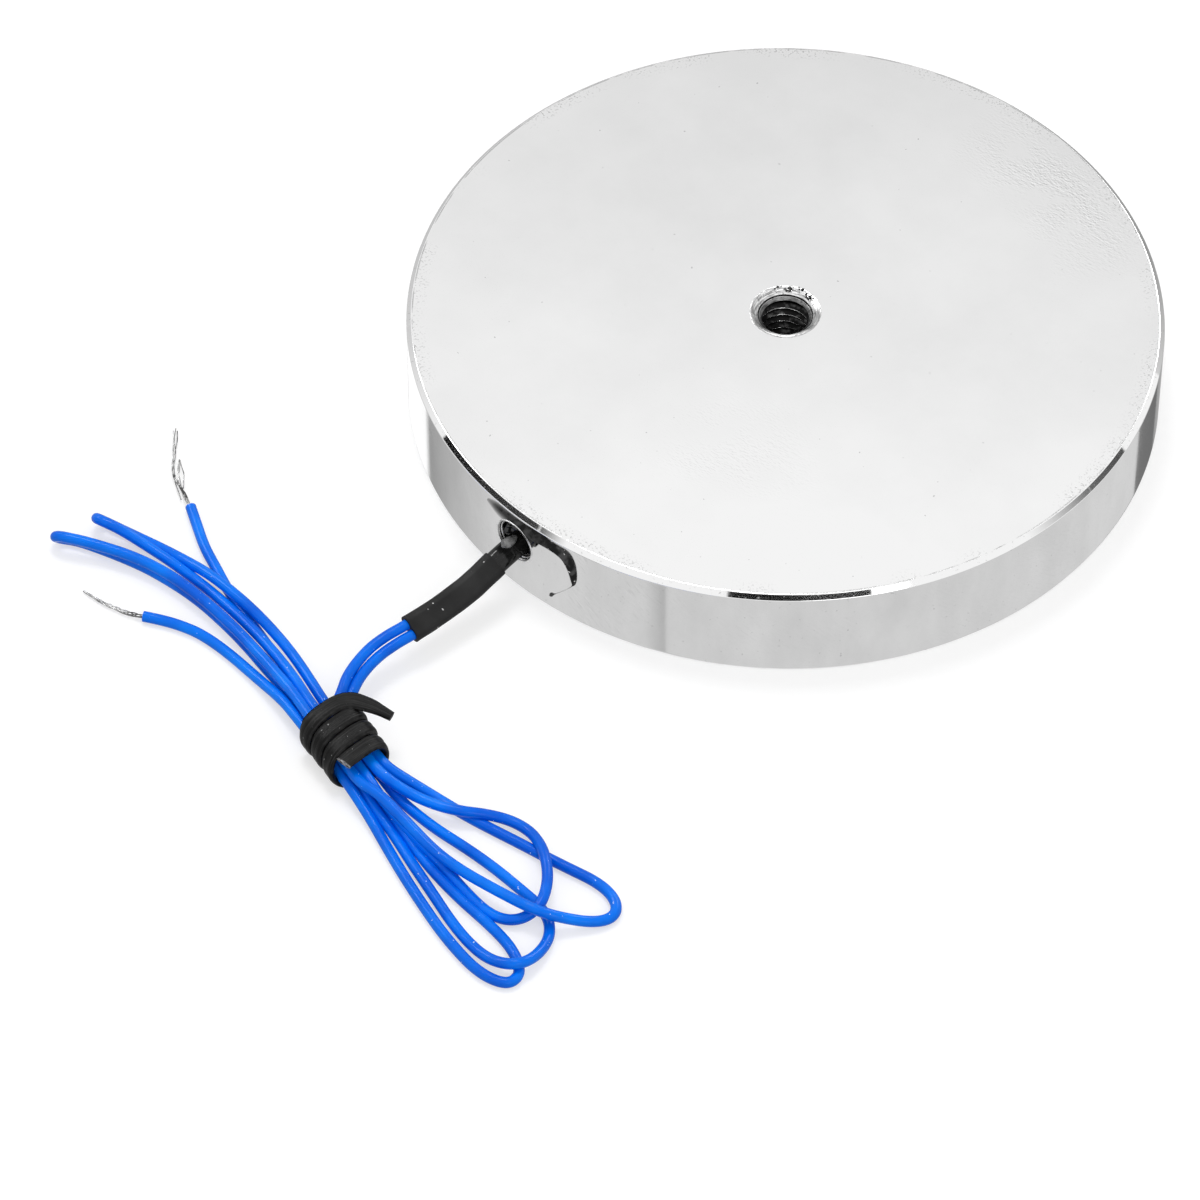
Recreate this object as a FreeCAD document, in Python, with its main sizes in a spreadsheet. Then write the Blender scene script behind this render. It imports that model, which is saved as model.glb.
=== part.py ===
import FreeCAD
import Part
import Sketcher
import math
import os
import re

# Flat round lifting electromagnet, millimetres.
# Origin: centre of the pole face, which lies on the floor. +Z: up, through the tapped back face.
# -Y: the side that the leads come out of.

Vector = FreeCAD.Vector

DIMENSIONS = [
    ("cup_radius", 50, "outside of the pot shell"),
    ("cup_height", 14, "pole face to back face"),
    ("rim_chamfer", 0.65, "chamfer of both outer rims"),
    ("ring_wall", 6, "wall between the coil groove and the outside"),
    ("core_radius", 22, "centre pole"),
    ("back_thickness", 3, "back plate over the coil groove"),
    ("tap_drill_diameter", 6.8, "wall of the tapped hole, M8 x 1.25"),
    ("thread_depth", 10, "straight wall of the tapped hole and its countersink"),
    ("drill_point_angle", 118, "bottom of the tapped hole"),
    ("countersink_diameter", 9.4, "countersink at the back face"),
    ("countersink_angle", 120, "full angle of the countersink"),
    ("cable_hole_diameter", 5.5, "hole in the side wall"),
    ("cable_hole_drop", 2.8, "centre of the cable hole below the back plate"),
    ("cable_hole_deburr", 0.35, "chamfer round the cable hole"),
    ("drill_run_in", 1, "cable hole drilled past both faces of the wall"),
    ("resin_depth", 2, "potting at the mouth of the groove"),
    ("former_clearance", 0.1, "coil former round the centre pole"),
    ("former_wall", 1.2, "tube of the coil former"),
    ("flange_thickness", 1, "both flanges of the coil former"),
    ("lead_gap", 3.5, "flange rim to the bore of the groove"),
    ("winding_inset", 2, "winding below the flange rims"),
    ("tape_thickness", 0.3, "tape round the winding"),
    ("winding_wire_diameter", 0.5, "start and finish tails of the winding"),
    ("splice_diameter", 2.3, "insulated splices"),
    ("splice_length", 6.5, "insulated splices"),
    ("winding_tail_length", 9.5, "winding tail from the tape to its splice"),
    ("winding_tail_angle", 27.7, "where a tail leaves the tape, round the axis from the cable hole"),
    ("splice_lead_run", 2, "lead straight out of its splice"),
    ("lead_turn_depth", 0.6, "turn of each lead into line with the cable hole, past its inner mouth"),
    ("wire_diameter", 1.45, "insulated lead wire"),
    ("strand_diameter", 0.6, "bared conductor"),
    ("wire_play", 0.05, "room round each wire in its sleeve"),
    ("inner_sleeve_wall", 0.1, "glossy sleeve in the cable hole"),
    ("outer_sleeve_wall", 0.25, "heat-shrink sleeve"),
    ("sleeve_setback", 1.7, "start of the inner sleeve and the sealant in the cable hole"),
    ("inner_sleeve_reach", 4.5, "end of the inner sleeve outside the wall"),
    ("sleeve_overlap", 1.5, "outer sleeve over the end of the inner one"),
    ("pair_roll", 32, "turn of the pair of wires about its own line"),
    ("pair_drop", 1, "pair of wires below the middle of the cable hole"),
    ("sealant_recess", 1.8, "face of the sealant inside the wall"),
    ("glue_drop_length", 2.6, "drop of glue along the sleeve"),
    ("glue_drop_width", 1.4, "drop of glue across the sleeve"),
    ("glue_drop_reach", 2, "end of that drop outside the wall"),
    ("tie_turns", 4, "turns of the tie"),
    ("tie_strip_width", 2.1, "flat strip of the tie"),
    ("tie_strip_thickness", 0.9, "flat strip of the tie"),
    ("tie_strip_chamfer", 0.25, "long edges of the strip"),
    ("tie_turn_lap", 0.05, "each turn pressed into the next"),
    ("tie_play", 0.05, "tie round the hank"),
    ("tie_out", 35.9, "middle of the tie outside the wall"),
    ("tie_side", 5.2, "middle of the tie beside the cable hole"),
    ("tie_yaw", -13, "line of the hank through the tie, from +X"),
    ("tie_tail_bend", 2.4, "bend of the loose end of the tie"),
    ("tie_tail_start", 3.6, "start of that bend, across the hank"),
    ("tie_tail_length", 4, "loose end past the bend"),
    ("waist_flat", 2.8, "straight part of the hank's section in the tie"),
    ("waist_height", 4.6, "height of the hank's section in the tie"),
    ("waist_stub", 3.4, "hank past each end of the tie at that section"),
    ("throat_length", 7, "hank from there down to its loops"),
    ("lead_stub", 2.8, "straight end of each lead in the hank"),
    ("free_end_across", -2.6, "first free end beside the middle of the tie"),
    ("free_end_height", 2.2, "first free end where it leaves the tie"),
    ("free_end_run", 2.8, "first free end straight out of the hank"),
    ("free_end_stub", 6, "straight start of the second free end in the hank"),
]

# Line of the pair of leads through the cable hole: outwards from the wall, down from its height there.
# The sleeves end at the last point, and the leads run on straight to their own next corner.
SLEEVE_LINE = [(1.0, 0.0), (7.5, 1.75), (18.0, 2.4)]
LEAD_CORNER = (20.4, 2.55)

# Cord points: sideways from the cable hole, outwards from the wall, height above the floor.
LEAD_POINTS = {
    -1: [(-1.65, 26.9, 4.35), (-1.25, 30.2, 4.1)],
    1: [(-0.05, 26.9, 3.85), (0.35, 30.2, 3.65)],
}
FREE_END_POINTS = {
    1: [(-10.5, 35.4, 0.95), (-17.0, 35.1, 0.73), (-23.6, 36.0, 0.73), (-29.2, 38.6, 0.73)],
    2: [(-28.2, 26.5, 0.73), (-31.9, 25.2, 0.73), (-35.7, 23.3, 0.73), (-39.2, 21.3, 0.73)],
}
BARE_END_POINTS = {
    1: [(-29.2, 38.6, 0.73), (-33.4, 40.55, 0.73), (-38.0, 41.2, 0.42)],
    2: [(-39.2, 21.3, 0.73), (-45.15, 17.9, 0.73), (-50.2, 13.2, 0.42)],
}

# Loops of the hank, seen from above: (sideways, outwards, radius) of a loop's root and tip,
# and three points and half the width of each narrow fold.
LOOP_ROOT = (14.2, 38.0, 3.2)
LOOP_TIPS = [(45.3, 31.4, 3.4), (34.6, 34.9, 6.5), (41.4, 41.2, 5.2), (44.2, 45.6, 3.2)]
FOLDS = [
    ((-1.4, 34.3), (-23.3, 29.2), (-45.4, 31.9), 1.4),
    ((-1.4, 34.6), (-23.5, 32.0), (-46.6, 37.6), 1.0),
]
ROUTE_SHARE = 0.45

doc = FreeCAD.newDocument("lifting_electromagnet")
sheet = doc.addObject("Spreadsheet::Sheet", "dims")
for row, (alias, size, meaning) in enumerate(DIMENSIONS, start=1):
    sheet.set(f"A{row}", meaning)
    sheet.set(f"B{row}", str(size))
    sheet.setAlias(f"B{row}", alias)
doc.recompute()

sub_parts = []


def value(expression):
    """Number that an expression of the sheet's cells stands for."""
    return float(sheet.evalExpression(expression))


def bound(expression):
    """The expression with every cell's alias read from the sheet."""
    return re.sub(r"([a-z]\w*)", r"dims.\1", expression)


GROOVE_RADIUS = "(cup_radius - ring_wall)"
GROOVE_DEPTH = "(cup_height - back_thickness)"
FORMER_BORE = "(core_radius + former_clearance)"
FORMER_TUBE = "(core_radius + former_clearance + former_wall)"
FLANGE_RADIUS = "(cup_radius - ring_wall - lead_gap)"
WINDING_RADIUS = "(cup_radius - ring_wall - lead_gap - winding_inset)"
TAPE_RADIUS = "(cup_radius - ring_wall - lead_gap - winding_inset + tape_thickness)"
WINDING_FOOT = "(resin_depth + flange_thickness)"
WINDING_TOP = "(cup_height - back_thickness - flange_thickness)"
HOLE_RADIUS = "(cable_hole_diameter / 2)"
HOLE_HEIGHT = "(cup_height - back_thickness - cable_hole_drop)"
PAIR_HEIGHT = "(cup_height - back_thickness - cable_hole_drop - pair_drop)"
WIRE_RADIUS = "(wire_diameter / 2)"
PAIR_OFFSET = "(wire_diameter / 2 + wire_play / 2)"
WIRE_BORE = "(wire_diameter / 2 + wire_play)"
INNER_SLEEVE = "(wire_diameter / 2 + wire_play + inner_sleeve_wall)"
OUTER_SLEEVE = "(wire_diameter / 2 + wire_play + outer_sleeve_wall)"
WAIST_ROUND = "(waist_height / 2)"
TIE_BORE = "(waist_height / 2 + tie_play)"
TIE_OUTSIDE = "(waist_height / 2 + tie_play + tie_strip_thickness)"
TIE_PITCH = "(tie_strip_width - tie_turn_lap)"
TIE_LENGTH = "(tie_turns * (tie_strip_width - tie_turn_lap) + tie_turn_lap)"
LOOP_HEIGHT = "(2 * wire_diameter)"


def beside(side, out, height):
    """Point given sideways from the cable hole and outwards from the wall."""
    return Vector(side, -value("cup_radius") - out, height)


def new_body(label):
    """Empty body that becomes one sub-part."""
    body = doc.addObject("PartDesign::Body", label)
    body.Label = label
    sub_parts.append(body)
    return body


def new_sketch(body, name, role, offset=None):
    """Sketch on one of the body's own origin planes."""
    sketch = body.newObject("Sketcher::SketchObject", name)
    plane = [item for item in body.Origin.OriginFeatures if item.Role == role][0]
    sketch.AttachmentSupport = [(plane, "")]
    sketch.MapMode = "FlatFace"
    if offset is not None:
        sketch.AttachmentOffset = offset
    return sketch


def pin(sketch, geometry, end, across, expression):
    """Tie one coordinate of a sketch point to the sheet."""
    if expression == "0":
        axis = -2 if across == "X" else -1
        sketch.addConstraint(Sketcher.Constraint("PointOnObject", geometry, end, axis))
        return
    kind = "Distance" + across
    index = sketch.addConstraint(
        Sketcher.Constraint(kind, -1, 1, geometry, end, value(expression)))
    sketch.setExpression(f"Constraints[{index}]", bound(expression))


def polygon(sketch, corners):
    """Closed outline of straight lines; each corner is a pair of expressions."""
    points = [Vector(value(x), value(y), 0) for x, y in corners]
    for index, point in enumerate(points):
        sketch.addGeometry(Part.LineSegment(point, points[(index + 1) % len(points)]))
    for index, (x, y) in enumerate(corners):
        before = (index - 1) % len(corners)
        sketch.addConstraint(Sketcher.Constraint("Coincident", before, 2, index, 1))
        pin(sketch, index, 1, "X", x)
        pin(sketch, index, 1, "Y", y)


def circle(sketch, x, y, radius):
    """Circle whose centre and radius are expressions."""
    centre = Vector(value(x), value(y), 0)
    index = sketch.addGeometry(Part.Circle(centre, Vector(0, 0, 1), value(radius)))
    pin(sketch, index, 3, "X", x)
    pin(sketch, index, 3, "Y", y)
    size = sketch.addConstraint(Sketcher.Constraint("Radius", index, value(radius)))
    sketch.setExpression(f"Constraints[{size}]", bound(radius))


def chain(sketch, pieces, joint="Tangent", backward=()):
    """Closed outline of arcs and lines in turn; backward numbers the arcs run end to start."""
    first = sketch.GeometryCount
    for piece in pieces:
        sketch.addGeometry(piece)
    count = len(pieces)
    for index in range(count):
        after = (index + 1) % count
        leaving = 1 if index in backward else 2
        arriving = 2 if after in backward else 1
        sketch.addConstraint(
            Sketcher.Constraint(joint, first + index, leaving, first + after, arriving))
    return first


def arc(x, y, radius, start, end):
    """Arc of a circle in sketch coordinates, from one angle to the next in radians."""
    return Part.ArcOfCircle(Part.Circle(Vector(x, y, 0), Vector(0, 0, 1), radius), start, end)


def line(start, end):
    """Straight sketch line between two (x, y) pairs."""
    return Part.LineSegment(Vector(*start, 0), Vector(*end, 0))


def stadium(sketch, flat, radius):
    """Slot-shaped outline: two half circles, flat apart, about the sketch's origin."""
    half = value(flat) / 2
    size = value(radius)
    first = chain(sketch, [
        arc(half, 0, size, -math.pi / 2, math.pi / 2),
        line((half, size), (-half, size)),
        arc(-half, 0, size, math.pi / 2, 3 * math.pi / 2),
        line((-half, -size), (half, -size)),
    ])
    sketch.addConstraint(Sketcher.Constraint("PointOnObject", first, 3, -1))
    pin(sketch, first, 3, "X", f"({flat}) / 2")
    pin(sketch, first + 2, 3, "X", f"-({flat}) / 2")
    index = sketch.addConstraint(Sketcher.Constraint("Radius", first, size))
    sketch.setExpression(f"Constraints[{index}]", bound(radius))


def revolved(label, corners):
    """Turned sub-part about +Z from a half section of radius and height expressions."""
    body = new_body(label)
    sketch = new_sketch(body, label + "_section", "XZ_Plane")
    polygon(sketch, corners)
    turned = body.newObject("PartDesign::Revolution", label + "_turned")
    turned.Profile = sketch
    turned.ReferenceAxis = (sketch, ["V_Axis"])
    turned.Angle = 360
    doc.recompute()
    return body


def padded(body, sketch, name, length, midplane=False):
    """Pad of a sketch whose length is an expression."""
    pad = body.newObject("PartDesign::Pad", name)
    pad.Profile = sketch
    pad.setExpression("Length", bound(length))
    pad.Midplane = midplane
    doc.recompute()
    return pad


def route(points, label):
    """Path of straight runs joined by tangent arcs, each as large as its runs allow."""
    edges = []
    radii = []
    last = points[0]
    for before, corner, after in zip(points, points[1:], points[2:]):
        into = corner - before
        out = after - corner
        half_turn = into.getAngle(out) / 2
        reach = ROUTE_SHARE * min(into.Length, out.Length)
        radii.append(reach / math.tan(half_turn))
        start = corner - into.normalize() * reach
        end = corner + out.normalize() * reach
        bisector = (start + end) * 0.5 - corner
        depth = radii[-1] / math.cos(half_turn) - radii[-1]
        middle = corner + bisector.normalize() * depth
        edges.append(Part.LineSegment(last, start).toShape())
        edges.append(Part.Arc(start, middle, end).toShape())
        last = end
    edges.append(Part.LineSegment(last, points[-1]).toShape())
    path = Part.Wire(edges)
    print(label, "length", round(path.Length, 2), "radii", [round(r, 2) for r in radii])
    return path


def keep(label, shape):
    """Sub-part from a finished shape."""
    feature = doc.addObject("Part::Feature", label)
    feature.Label = label
    feature.Shape = shape
    sub_parts.append(feature)


def tube(label, points, radius):
    """Round cord or wire along a route, as a sub-part of its own."""
    path = route(points, label)
    ring = Part.Circle(points[0], points[1] - points[0], radius).toShape()
    solid = path.makePipe(Part.Face(Part.Wire(ring)))
    expected = math.pi * radius ** 2 * path.Length
    print(label, "volume over section times length", round(solid.Volume / expected, 4))
    keep(label, solid)


def sleeve_bar(path, start, radius):
    """Slot-shaped bar round the pair of wires, along their line."""
    half = value(PAIR_OFFSET)
    roll = math.radians(value("pair_roll"))
    side = Vector(math.cos(roll), 0, -math.sin(roll))
    rise = Vector(math.sin(roll), 0, math.cos(roll))
    right = start + side * half
    left = start - side * half
    outline = Part.Wire([
        Part.Arc(right + rise * radius, right + side * radius, right - rise * radius).toShape(),
        Part.LineSegment(right - rise * radius, left - rise * radius).toShape(),
        Part.Arc(left - rise * radius, left - side * radius, left + rise * radius).toShape(),
        Part.LineSegment(left + rise * radius, right + rise * radius).toShape(),
    ])
    return path.makePipe(Part.Face(outline))


def pot_shell():
    """Turned steel shell: back, centre pole and ring in one piece, with its two holes."""
    body = revolved("pot_shell", [
        ("0", "0"),
        ("core_radius", "0"),
        ("core_radius", GROOVE_DEPTH),
        (GROOVE_RADIUS, GROOVE_DEPTH),
        (GROOVE_RADIUS, "0"),
        ("cup_radius - rim_chamfer", "0"),
        ("cup_radius", "rim_chamfer"),
        ("cup_radius", "cup_height - rim_chamfer"),
        ("cup_radius - rim_chamfer", "cup_height"),
        ("0", "cup_height"),
    ])
    blank_volume = body.Shape.Volume

    lift = FreeCAD.Placement(Vector(0, 0, value("cup_height")), FreeCAD.Rotation())
    centre = new_sketch(body, "thread_centre", "XY_Plane", lift)
    centre.setExpression("AttachmentOffset.Base.z", bound("cup_height"))
    circle(centre, "0", "0", "tap_drill_diameter / 2")
    doc.recompute()
    tapped = body.newObject("PartDesign::Hole", "tapped_hole")
    tapped.Profile = centre
    tapped.DepthType = "Dimension"
    tapped.HoleCutType = "Countersink"
    tapped.DrillPoint = "Angled"
    tapped.setExpression("Diameter", bound("tap_drill_diameter"))
    tapped.setExpression("Depth", bound("thread_depth"))
    tapped.setExpression("HoleCutDiameter", bound("countersink_diameter"))
    tapped.setExpression("HoleCutCountersinkAngle", bound("countersink_angle"))
    tapped.setExpression("DrillPointAngle", bound("drill_point_angle"))
    doc.recompute()
    tapped_volume = body.Shape.Volume

    inside = bound(f"{GROOVE_RADIUS} - drill_run_in")
    drilled = new_sketch(body, "cable_hole_section", "XZ_Plane", FreeCAD.Placement())
    drilled.setExpression("AttachmentOffset.Base.z", inside)
    circle(drilled, "0", HOLE_HEIGHT, HOLE_RADIUS)
    hole = body.newObject("PartDesign::Pocket", "cable_hole")
    hole.Profile = drilled
    hole.Reversed = True
    hole.setExpression("Length", bound("ring_wall + 2 * drill_run_in"))
    doc.recompute()
    drilled_volume = body.Shape.Volume

    cone = body.newObject("PartDesign::SubtractiveCone", "cable_hole_deburr")
    plane = [item for item in body.Origin.OriginFeatures if item.Role == "XZ_Plane"][0]
    cone.AttachmentSupport = [(plane, "")]
    cone.MapMode = "FlatFace"
    cone.setExpression("Radius1", bound(HOLE_RADIUS))
    cone.setExpression("Radius2", bound(f"{HOLE_RADIUS} + 2 * cable_hole_deburr"))
    cone.setExpression("Height", bound("2 * cable_hole_deburr"))
    cone.setExpression("AttachmentOffset.Base.y", bound(HOLE_HEIGHT))
    cone.setExpression("AttachmentOffset.Base.z", bound("cup_radius - cable_hole_deburr"))
    doc.recompute()
    steps = [blank_volume, tapped_volume, drilled_volume, body.Shape.Volume]
    if not all(later < earlier for earlier, later in zip(steps, steps[1:])):
        raise ValueError(f"a hole of the pot shell cut nothing: {steps}")


def coil():
    """Former, winding, tape and the resin that closes the groove, all turned about the axis."""
    revolved("coil_former", [
        (FORMER_BORE, "resin_depth"),
        (FLANGE_RADIUS, "resin_depth"),
        (FLANGE_RADIUS, WINDING_FOOT),
        (FORMER_TUBE, WINDING_FOOT),
        (FORMER_TUBE, WINDING_TOP),
        (FLANGE_RADIUS, WINDING_TOP),
        (FLANGE_RADIUS, GROOVE_DEPTH),
        (FORMER_BORE, GROOVE_DEPTH),
    ])
    revolved("coil_winding", [
        (FORMER_TUBE, WINDING_FOOT),
        (WINDING_RADIUS, WINDING_FOOT),
        (WINDING_RADIUS, WINDING_TOP),
        (FORMER_TUBE, WINDING_TOP),
    ])
    revolved("coil_tape", [
        (WINDING_RADIUS, WINDING_FOOT),
        (TAPE_RADIUS, WINDING_FOOT),
        (TAPE_RADIUS, WINDING_TOP),
        (WINDING_RADIUS, WINDING_TOP),
    ])
    revolved("potting_resin", [
        ("core_radius", "0"),
        (GROOVE_RADIUS, "0"),
        (GROOVE_RADIUS, "resin_depth"),
        ("core_radius", "resin_depth"),
    ])


def tail_point(hand, along):
    """Point on the straight line from the tape, where it lies flat, through a splice."""
    touch = value("winding_wire_diameter / 2 + " + TAPE_RADIUS)
    angle = math.radians(value("winding_tail_angle"))
    side = touch * math.sin(angle) - along * math.cos(angle)
    out = touch * math.cos(angle) + along * math.sin(angle)
    return Vector(hand * side, -out, lead_point(hand, 0, 0).z)


def lead_point(hand, out, down):
    """Point of the pair of leads: hand -1 is the upper wire, +1 the lower, 0 their middle line."""
    offset = value(PAIR_OFFSET)
    roll = math.radians(value("pair_roll"))
    height = value(PAIR_HEIGHT) - down - hand * offset * math.sin(roll)
    return beside(hand * offset * math.cos(roll), out, height)


def bar(label, start, end, radius, length):
    """Straight round sub-part between two points."""
    feature = doc.addObject("Part::Cylinder", label)
    feature.Label = label
    feature.setExpression("Radius", bound(radius))
    feature.setExpression("Height", bound(length))
    feature.Placement = FreeCAD.Placement(
        start, FreeCAD.Rotation(Vector(0, 0, 1), end - start))
    sub_parts.append(feature)


def leads():
    """Both wires from the winding through the cable hole to the hank, with their splices."""
    spliced = value("winding_tail_length")
    free = value("winding_tail_length + splice_length")
    for hand, number, tail in ((-1, 1, "winding_start_tail"), (1, 2, "winding_finish_tail")):
        far = tail_point(hand, spliced)
        near = tail_point(hand, free)
        bar(tail, tail_point(hand, 0), far, "winding_wire_diameter / 2", "winding_tail_length")
        bar(f"splice_{number}", far, near, "splice_diameter / 2", "splice_length")
        points = [near, tail_point(hand, free + value("splice_lead_run"))]
        points.append(lead_point(hand, value("lead_turn_depth - ring_wall"), 0))
        points += [lead_point(hand, *point) for point in SLEEVE_LINE[:-1] + [LEAD_CORNER]]
        points += [beside(*point) for point in LEAD_POINTS[hand]]
        tube(f"lead_wire_{number}", points, value(WIRE_RADIUS))


def exit_pieces():
    """Sleeves, sealant and glue where the pair of leads passes the side wall."""
    setback = -value("ring_wall - sleeve_setback")
    start = lead_point(0, setback, 0)
    path = route([start] + [lead_point(0, *point) for point in SLEEVE_LINE], "sleeve line")
    wires = sleeve_bar(path, start, value(WIRE_BORE))
    covered = sleeve_bar(path, start, value(INNER_SLEEVE))
    outside = sleeve_bar(path, start, value(OUTER_SLEEVE))

    span = value("4 * cup_radius")
    end = value("cup_radius + inner_sleeve_reach")
    overlap = value("sleeve_overlap")
    near_side = Part.makeBox(span, span, span, Vector(-span / 2, -end, -span / 2))
    far_side = Part.makeBox(span, span, span, Vector(-span / 2, -end + overlap - span, -span / 2))
    inner = covered.cut(wires).common(near_side)
    keep("inner_sleeve", inner)
    outer = outside.common(far_side).cut(wires).cut(covered.common(near_side))
    keep("outer_sleeve", outer)

    depth = value("ring_wall - sleeve_setback - sealant_recess")
    middle = beside(0, setback, value(HOLE_HEIGHT))
    plug = Part.makeCylinder(value(HOLE_RADIUS), depth, middle, Vector(0, -1, 0))
    keep("cable_sealant", plug.cut(covered))

    drop = doc.addObject("Part::Ellipsoid", "glue_blank")
    drop.setExpression("Radius1", bound("glue_drop_width / 2"))
    drop.setExpression("Radius2", bound("glue_drop_width / 2"))
    drop.setExpression("Radius3", bound("glue_drop_length / 2"))
    roll = math.radians(value("pair_roll"))
    top = value(INNER_SLEEVE)
    out = value("glue_drop_reach - glue_drop_length / 2")
    drop.Placement = FreeCAD.Placement(
        lead_point(-1, out, 0) + Vector(math.sin(roll) * top, 0, math.cos(roll) * top),
        FreeCAD.Rotation())
    covered_bar = doc.addObject("Part::Feature", "covered_bar")
    covered_bar.Shape = covered
    seated = doc.addObject("Part::Cut", "glue_drop")
    seated.Label = "glue_drop"
    seated.Base = drop
    seated.Tool = covered_bar
    sub_parts.append(seated)


def hank_frame(along):
    """Attachment of a section across the hank, along its line from the middle of the tie."""
    yaw = math.radians(value("tie_yaw"))
    middle = beside(value("tie_side"), value("tie_out"), value(TIE_OUTSIDE))
    middle += Vector(math.cos(yaw), math.sin(yaw), 0) * along
    turn = FreeCAD.Rotation(Vector(0, 1, 0), value("tie_yaw"))
    return FreeCAD.Placement(Vector(middle.y, middle.z, middle.x), turn)


def hank_point(along, across_line, height):
    """Point given along and across the hank's line through the tie."""
    yaw = math.radians(value("tie_yaw"))
    point = beside(value("tie_side"), value("tie_out"), 0)
    point += Vector(math.cos(yaw), math.sin(yaw), 0) * along
    point += Vector(-math.sin(yaw), math.cos(yaw), 0) * across_line
    point.z = height
    return point


def loop_outline(sketch, root, tip):
    """Open loop of wire from above: two circles and the lines that touch both."""
    x1, y1, r1 = root[0], -value("cup_radius") - root[1], root[2]
    x2, y2, r2 = tip[0], -value("cup_radius") - tip[1], tip[2]
    heading = math.atan2(y2 - y1, x2 - x1)
    spread = math.acos((r1 - r2) / math.hypot(x2 - x1, y2 - y1))
    high = heading + spread
    low = heading - spread

    def on(x, y, radius, angle):
        return (x + radius * math.cos(angle), y + radius * math.sin(angle))

    chain(sketch, [
        arc(x2, y2, r2, low, high),
        line(on(x2, y2, r2, high), on(x1, y1, r1, high)),
        arc(x1, y1, r1, high, low + 2 * math.pi),
        line(on(x1, y1, r1, low), on(x2, y2, r2, low)),
    ])


def fold_outline(sketch, first, middle, last, half_width):
    """Narrow fold of wire from above: a band along an arc, with round ends."""
    points = [Vector(side, -value("cup_radius") - out, 0) for side, out in (first, middle, last)]
    bow = Part.Arc(*points).toShape().Curve
    centre = bow.Center
    start = math.atan2(points[0].y - centre.y, points[0].x - centre.x)
    end = math.atan2(points[2].y - centre.y, points[2].x - centre.x)
    chain(sketch, [
        arc(centre.x, centre.y, bow.Radius + half_width, start, end),
        arc(points[2].x, points[2].y, half_width, end, end + math.pi),
        arc(centre.x, centre.y, bow.Radius - half_width, start, end),
        arc(points[0].x, points[0].y, half_width, start - math.pi, start),
    ], backward=(2,))


def hank():
    """Folded length of both wires: waist in the tie, open loops one way, narrow folds the other."""
    body = new_body("wire_hank")
    waist = new_sketch(body, "waist_section", "YZ_Plane", hank_frame(0))
    stadium(waist, "waist_flat", WAIST_ROUND)
    padded(body, waist, "waist", f"{TIE_LENGTH} + 2 * waist_stub", midplane=True)

    reach = value(f"{TIE_LENGTH} / 2 + waist_stub")
    wide = new_sketch(body, "throat_start", "YZ_Plane", hank_frame(reach))
    stadium(wide, "waist_flat", WAIST_ROUND)
    low_frame = hank_frame(reach + value("throat_length"))
    low_frame.Base.y = value(LOOP_HEIGHT + " / 2")
    low = new_sketch(body, "throat_end", "YZ_Plane", low_frame)
    stadium(low, "waist_flat + waist_height - 2 * wire_diameter", LOOP_HEIGHT + " / 2")
    throat = body.newObject("PartDesign::AdditiveLoft", "throat")
    throat.Profile = wide
    throat.Sections = [low]
    throat.Ruled = True
    doc.recompute()

    for number, tip in enumerate(LOOP_TIPS, start=1):
        outline = new_sketch(body, f"loop_{number}_outline", "XY_Plane")
        loop_outline(outline, LOOP_ROOT, tip)
        padded(body, outline, f"loop_{number}", LOOP_HEIGHT)
    for number, fold in enumerate(FOLDS, start=1):
        outline = new_sketch(body, f"fold_{number}_outline", "XY_Plane")
        fold_outline(outline, *fold)
        padded(body, outline, f"fold_{number}", LOOP_HEIGHT)

    stubs = [(points[-2], points[-1], "lead_stub") for points in LEAD_POINTS.values()]
    stubs.append((FREE_END_POINTS[2][1], FREE_END_POINTS[2][0], "free_end_stub"))
    for number, (before, end, length) in enumerate(stubs, start=1):
        stub = body.newObject("PartDesign::AdditiveCylinder", f"stub_{number}")
        plane = [item for item in body.Origin.OriginFeatures if item.Role == "XY_Plane"][0]
        stub.AttachmentSupport = [(plane, "")]
        stub.MapMode = "FlatFace"
        stub.setExpression("Radius", bound(WIRE_RADIUS))
        stub.setExpression("Height", bound(length))
        heading = beside(*end) - beside(*before)
        stub.AttachmentOffset = FreeCAD.Placement(
            beside(*end), FreeCAD.Rotation(Vector(0, 0, 1), heading))
        doc.recompute()


def free_ends():
    """Both wires past the tie, and their bared, twisted conductors."""
    radius = value(WIRE_RADIUS)
    bare = value("strand_diameter / 2")
    hank_end = -value(f"{TIE_LENGTH} / 2 + waist_stub")
    slot = (value("free_end_across"), value("free_end_height"))
    for number, listed in FREE_END_POINTS.items():
        points = [beside(*point) for point in listed]
        if number == 1:
            points.insert(0, hank_point(hank_end - value("free_end_run"), *slot))
            points.insert(0, hank_point(hank_end, *slot))
        tube(f"free_end_{number}", points, radius)
        tube(f"bare_end_{number}", [beside(*point) for point in BARE_END_POINTS[number]], bare)


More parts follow.
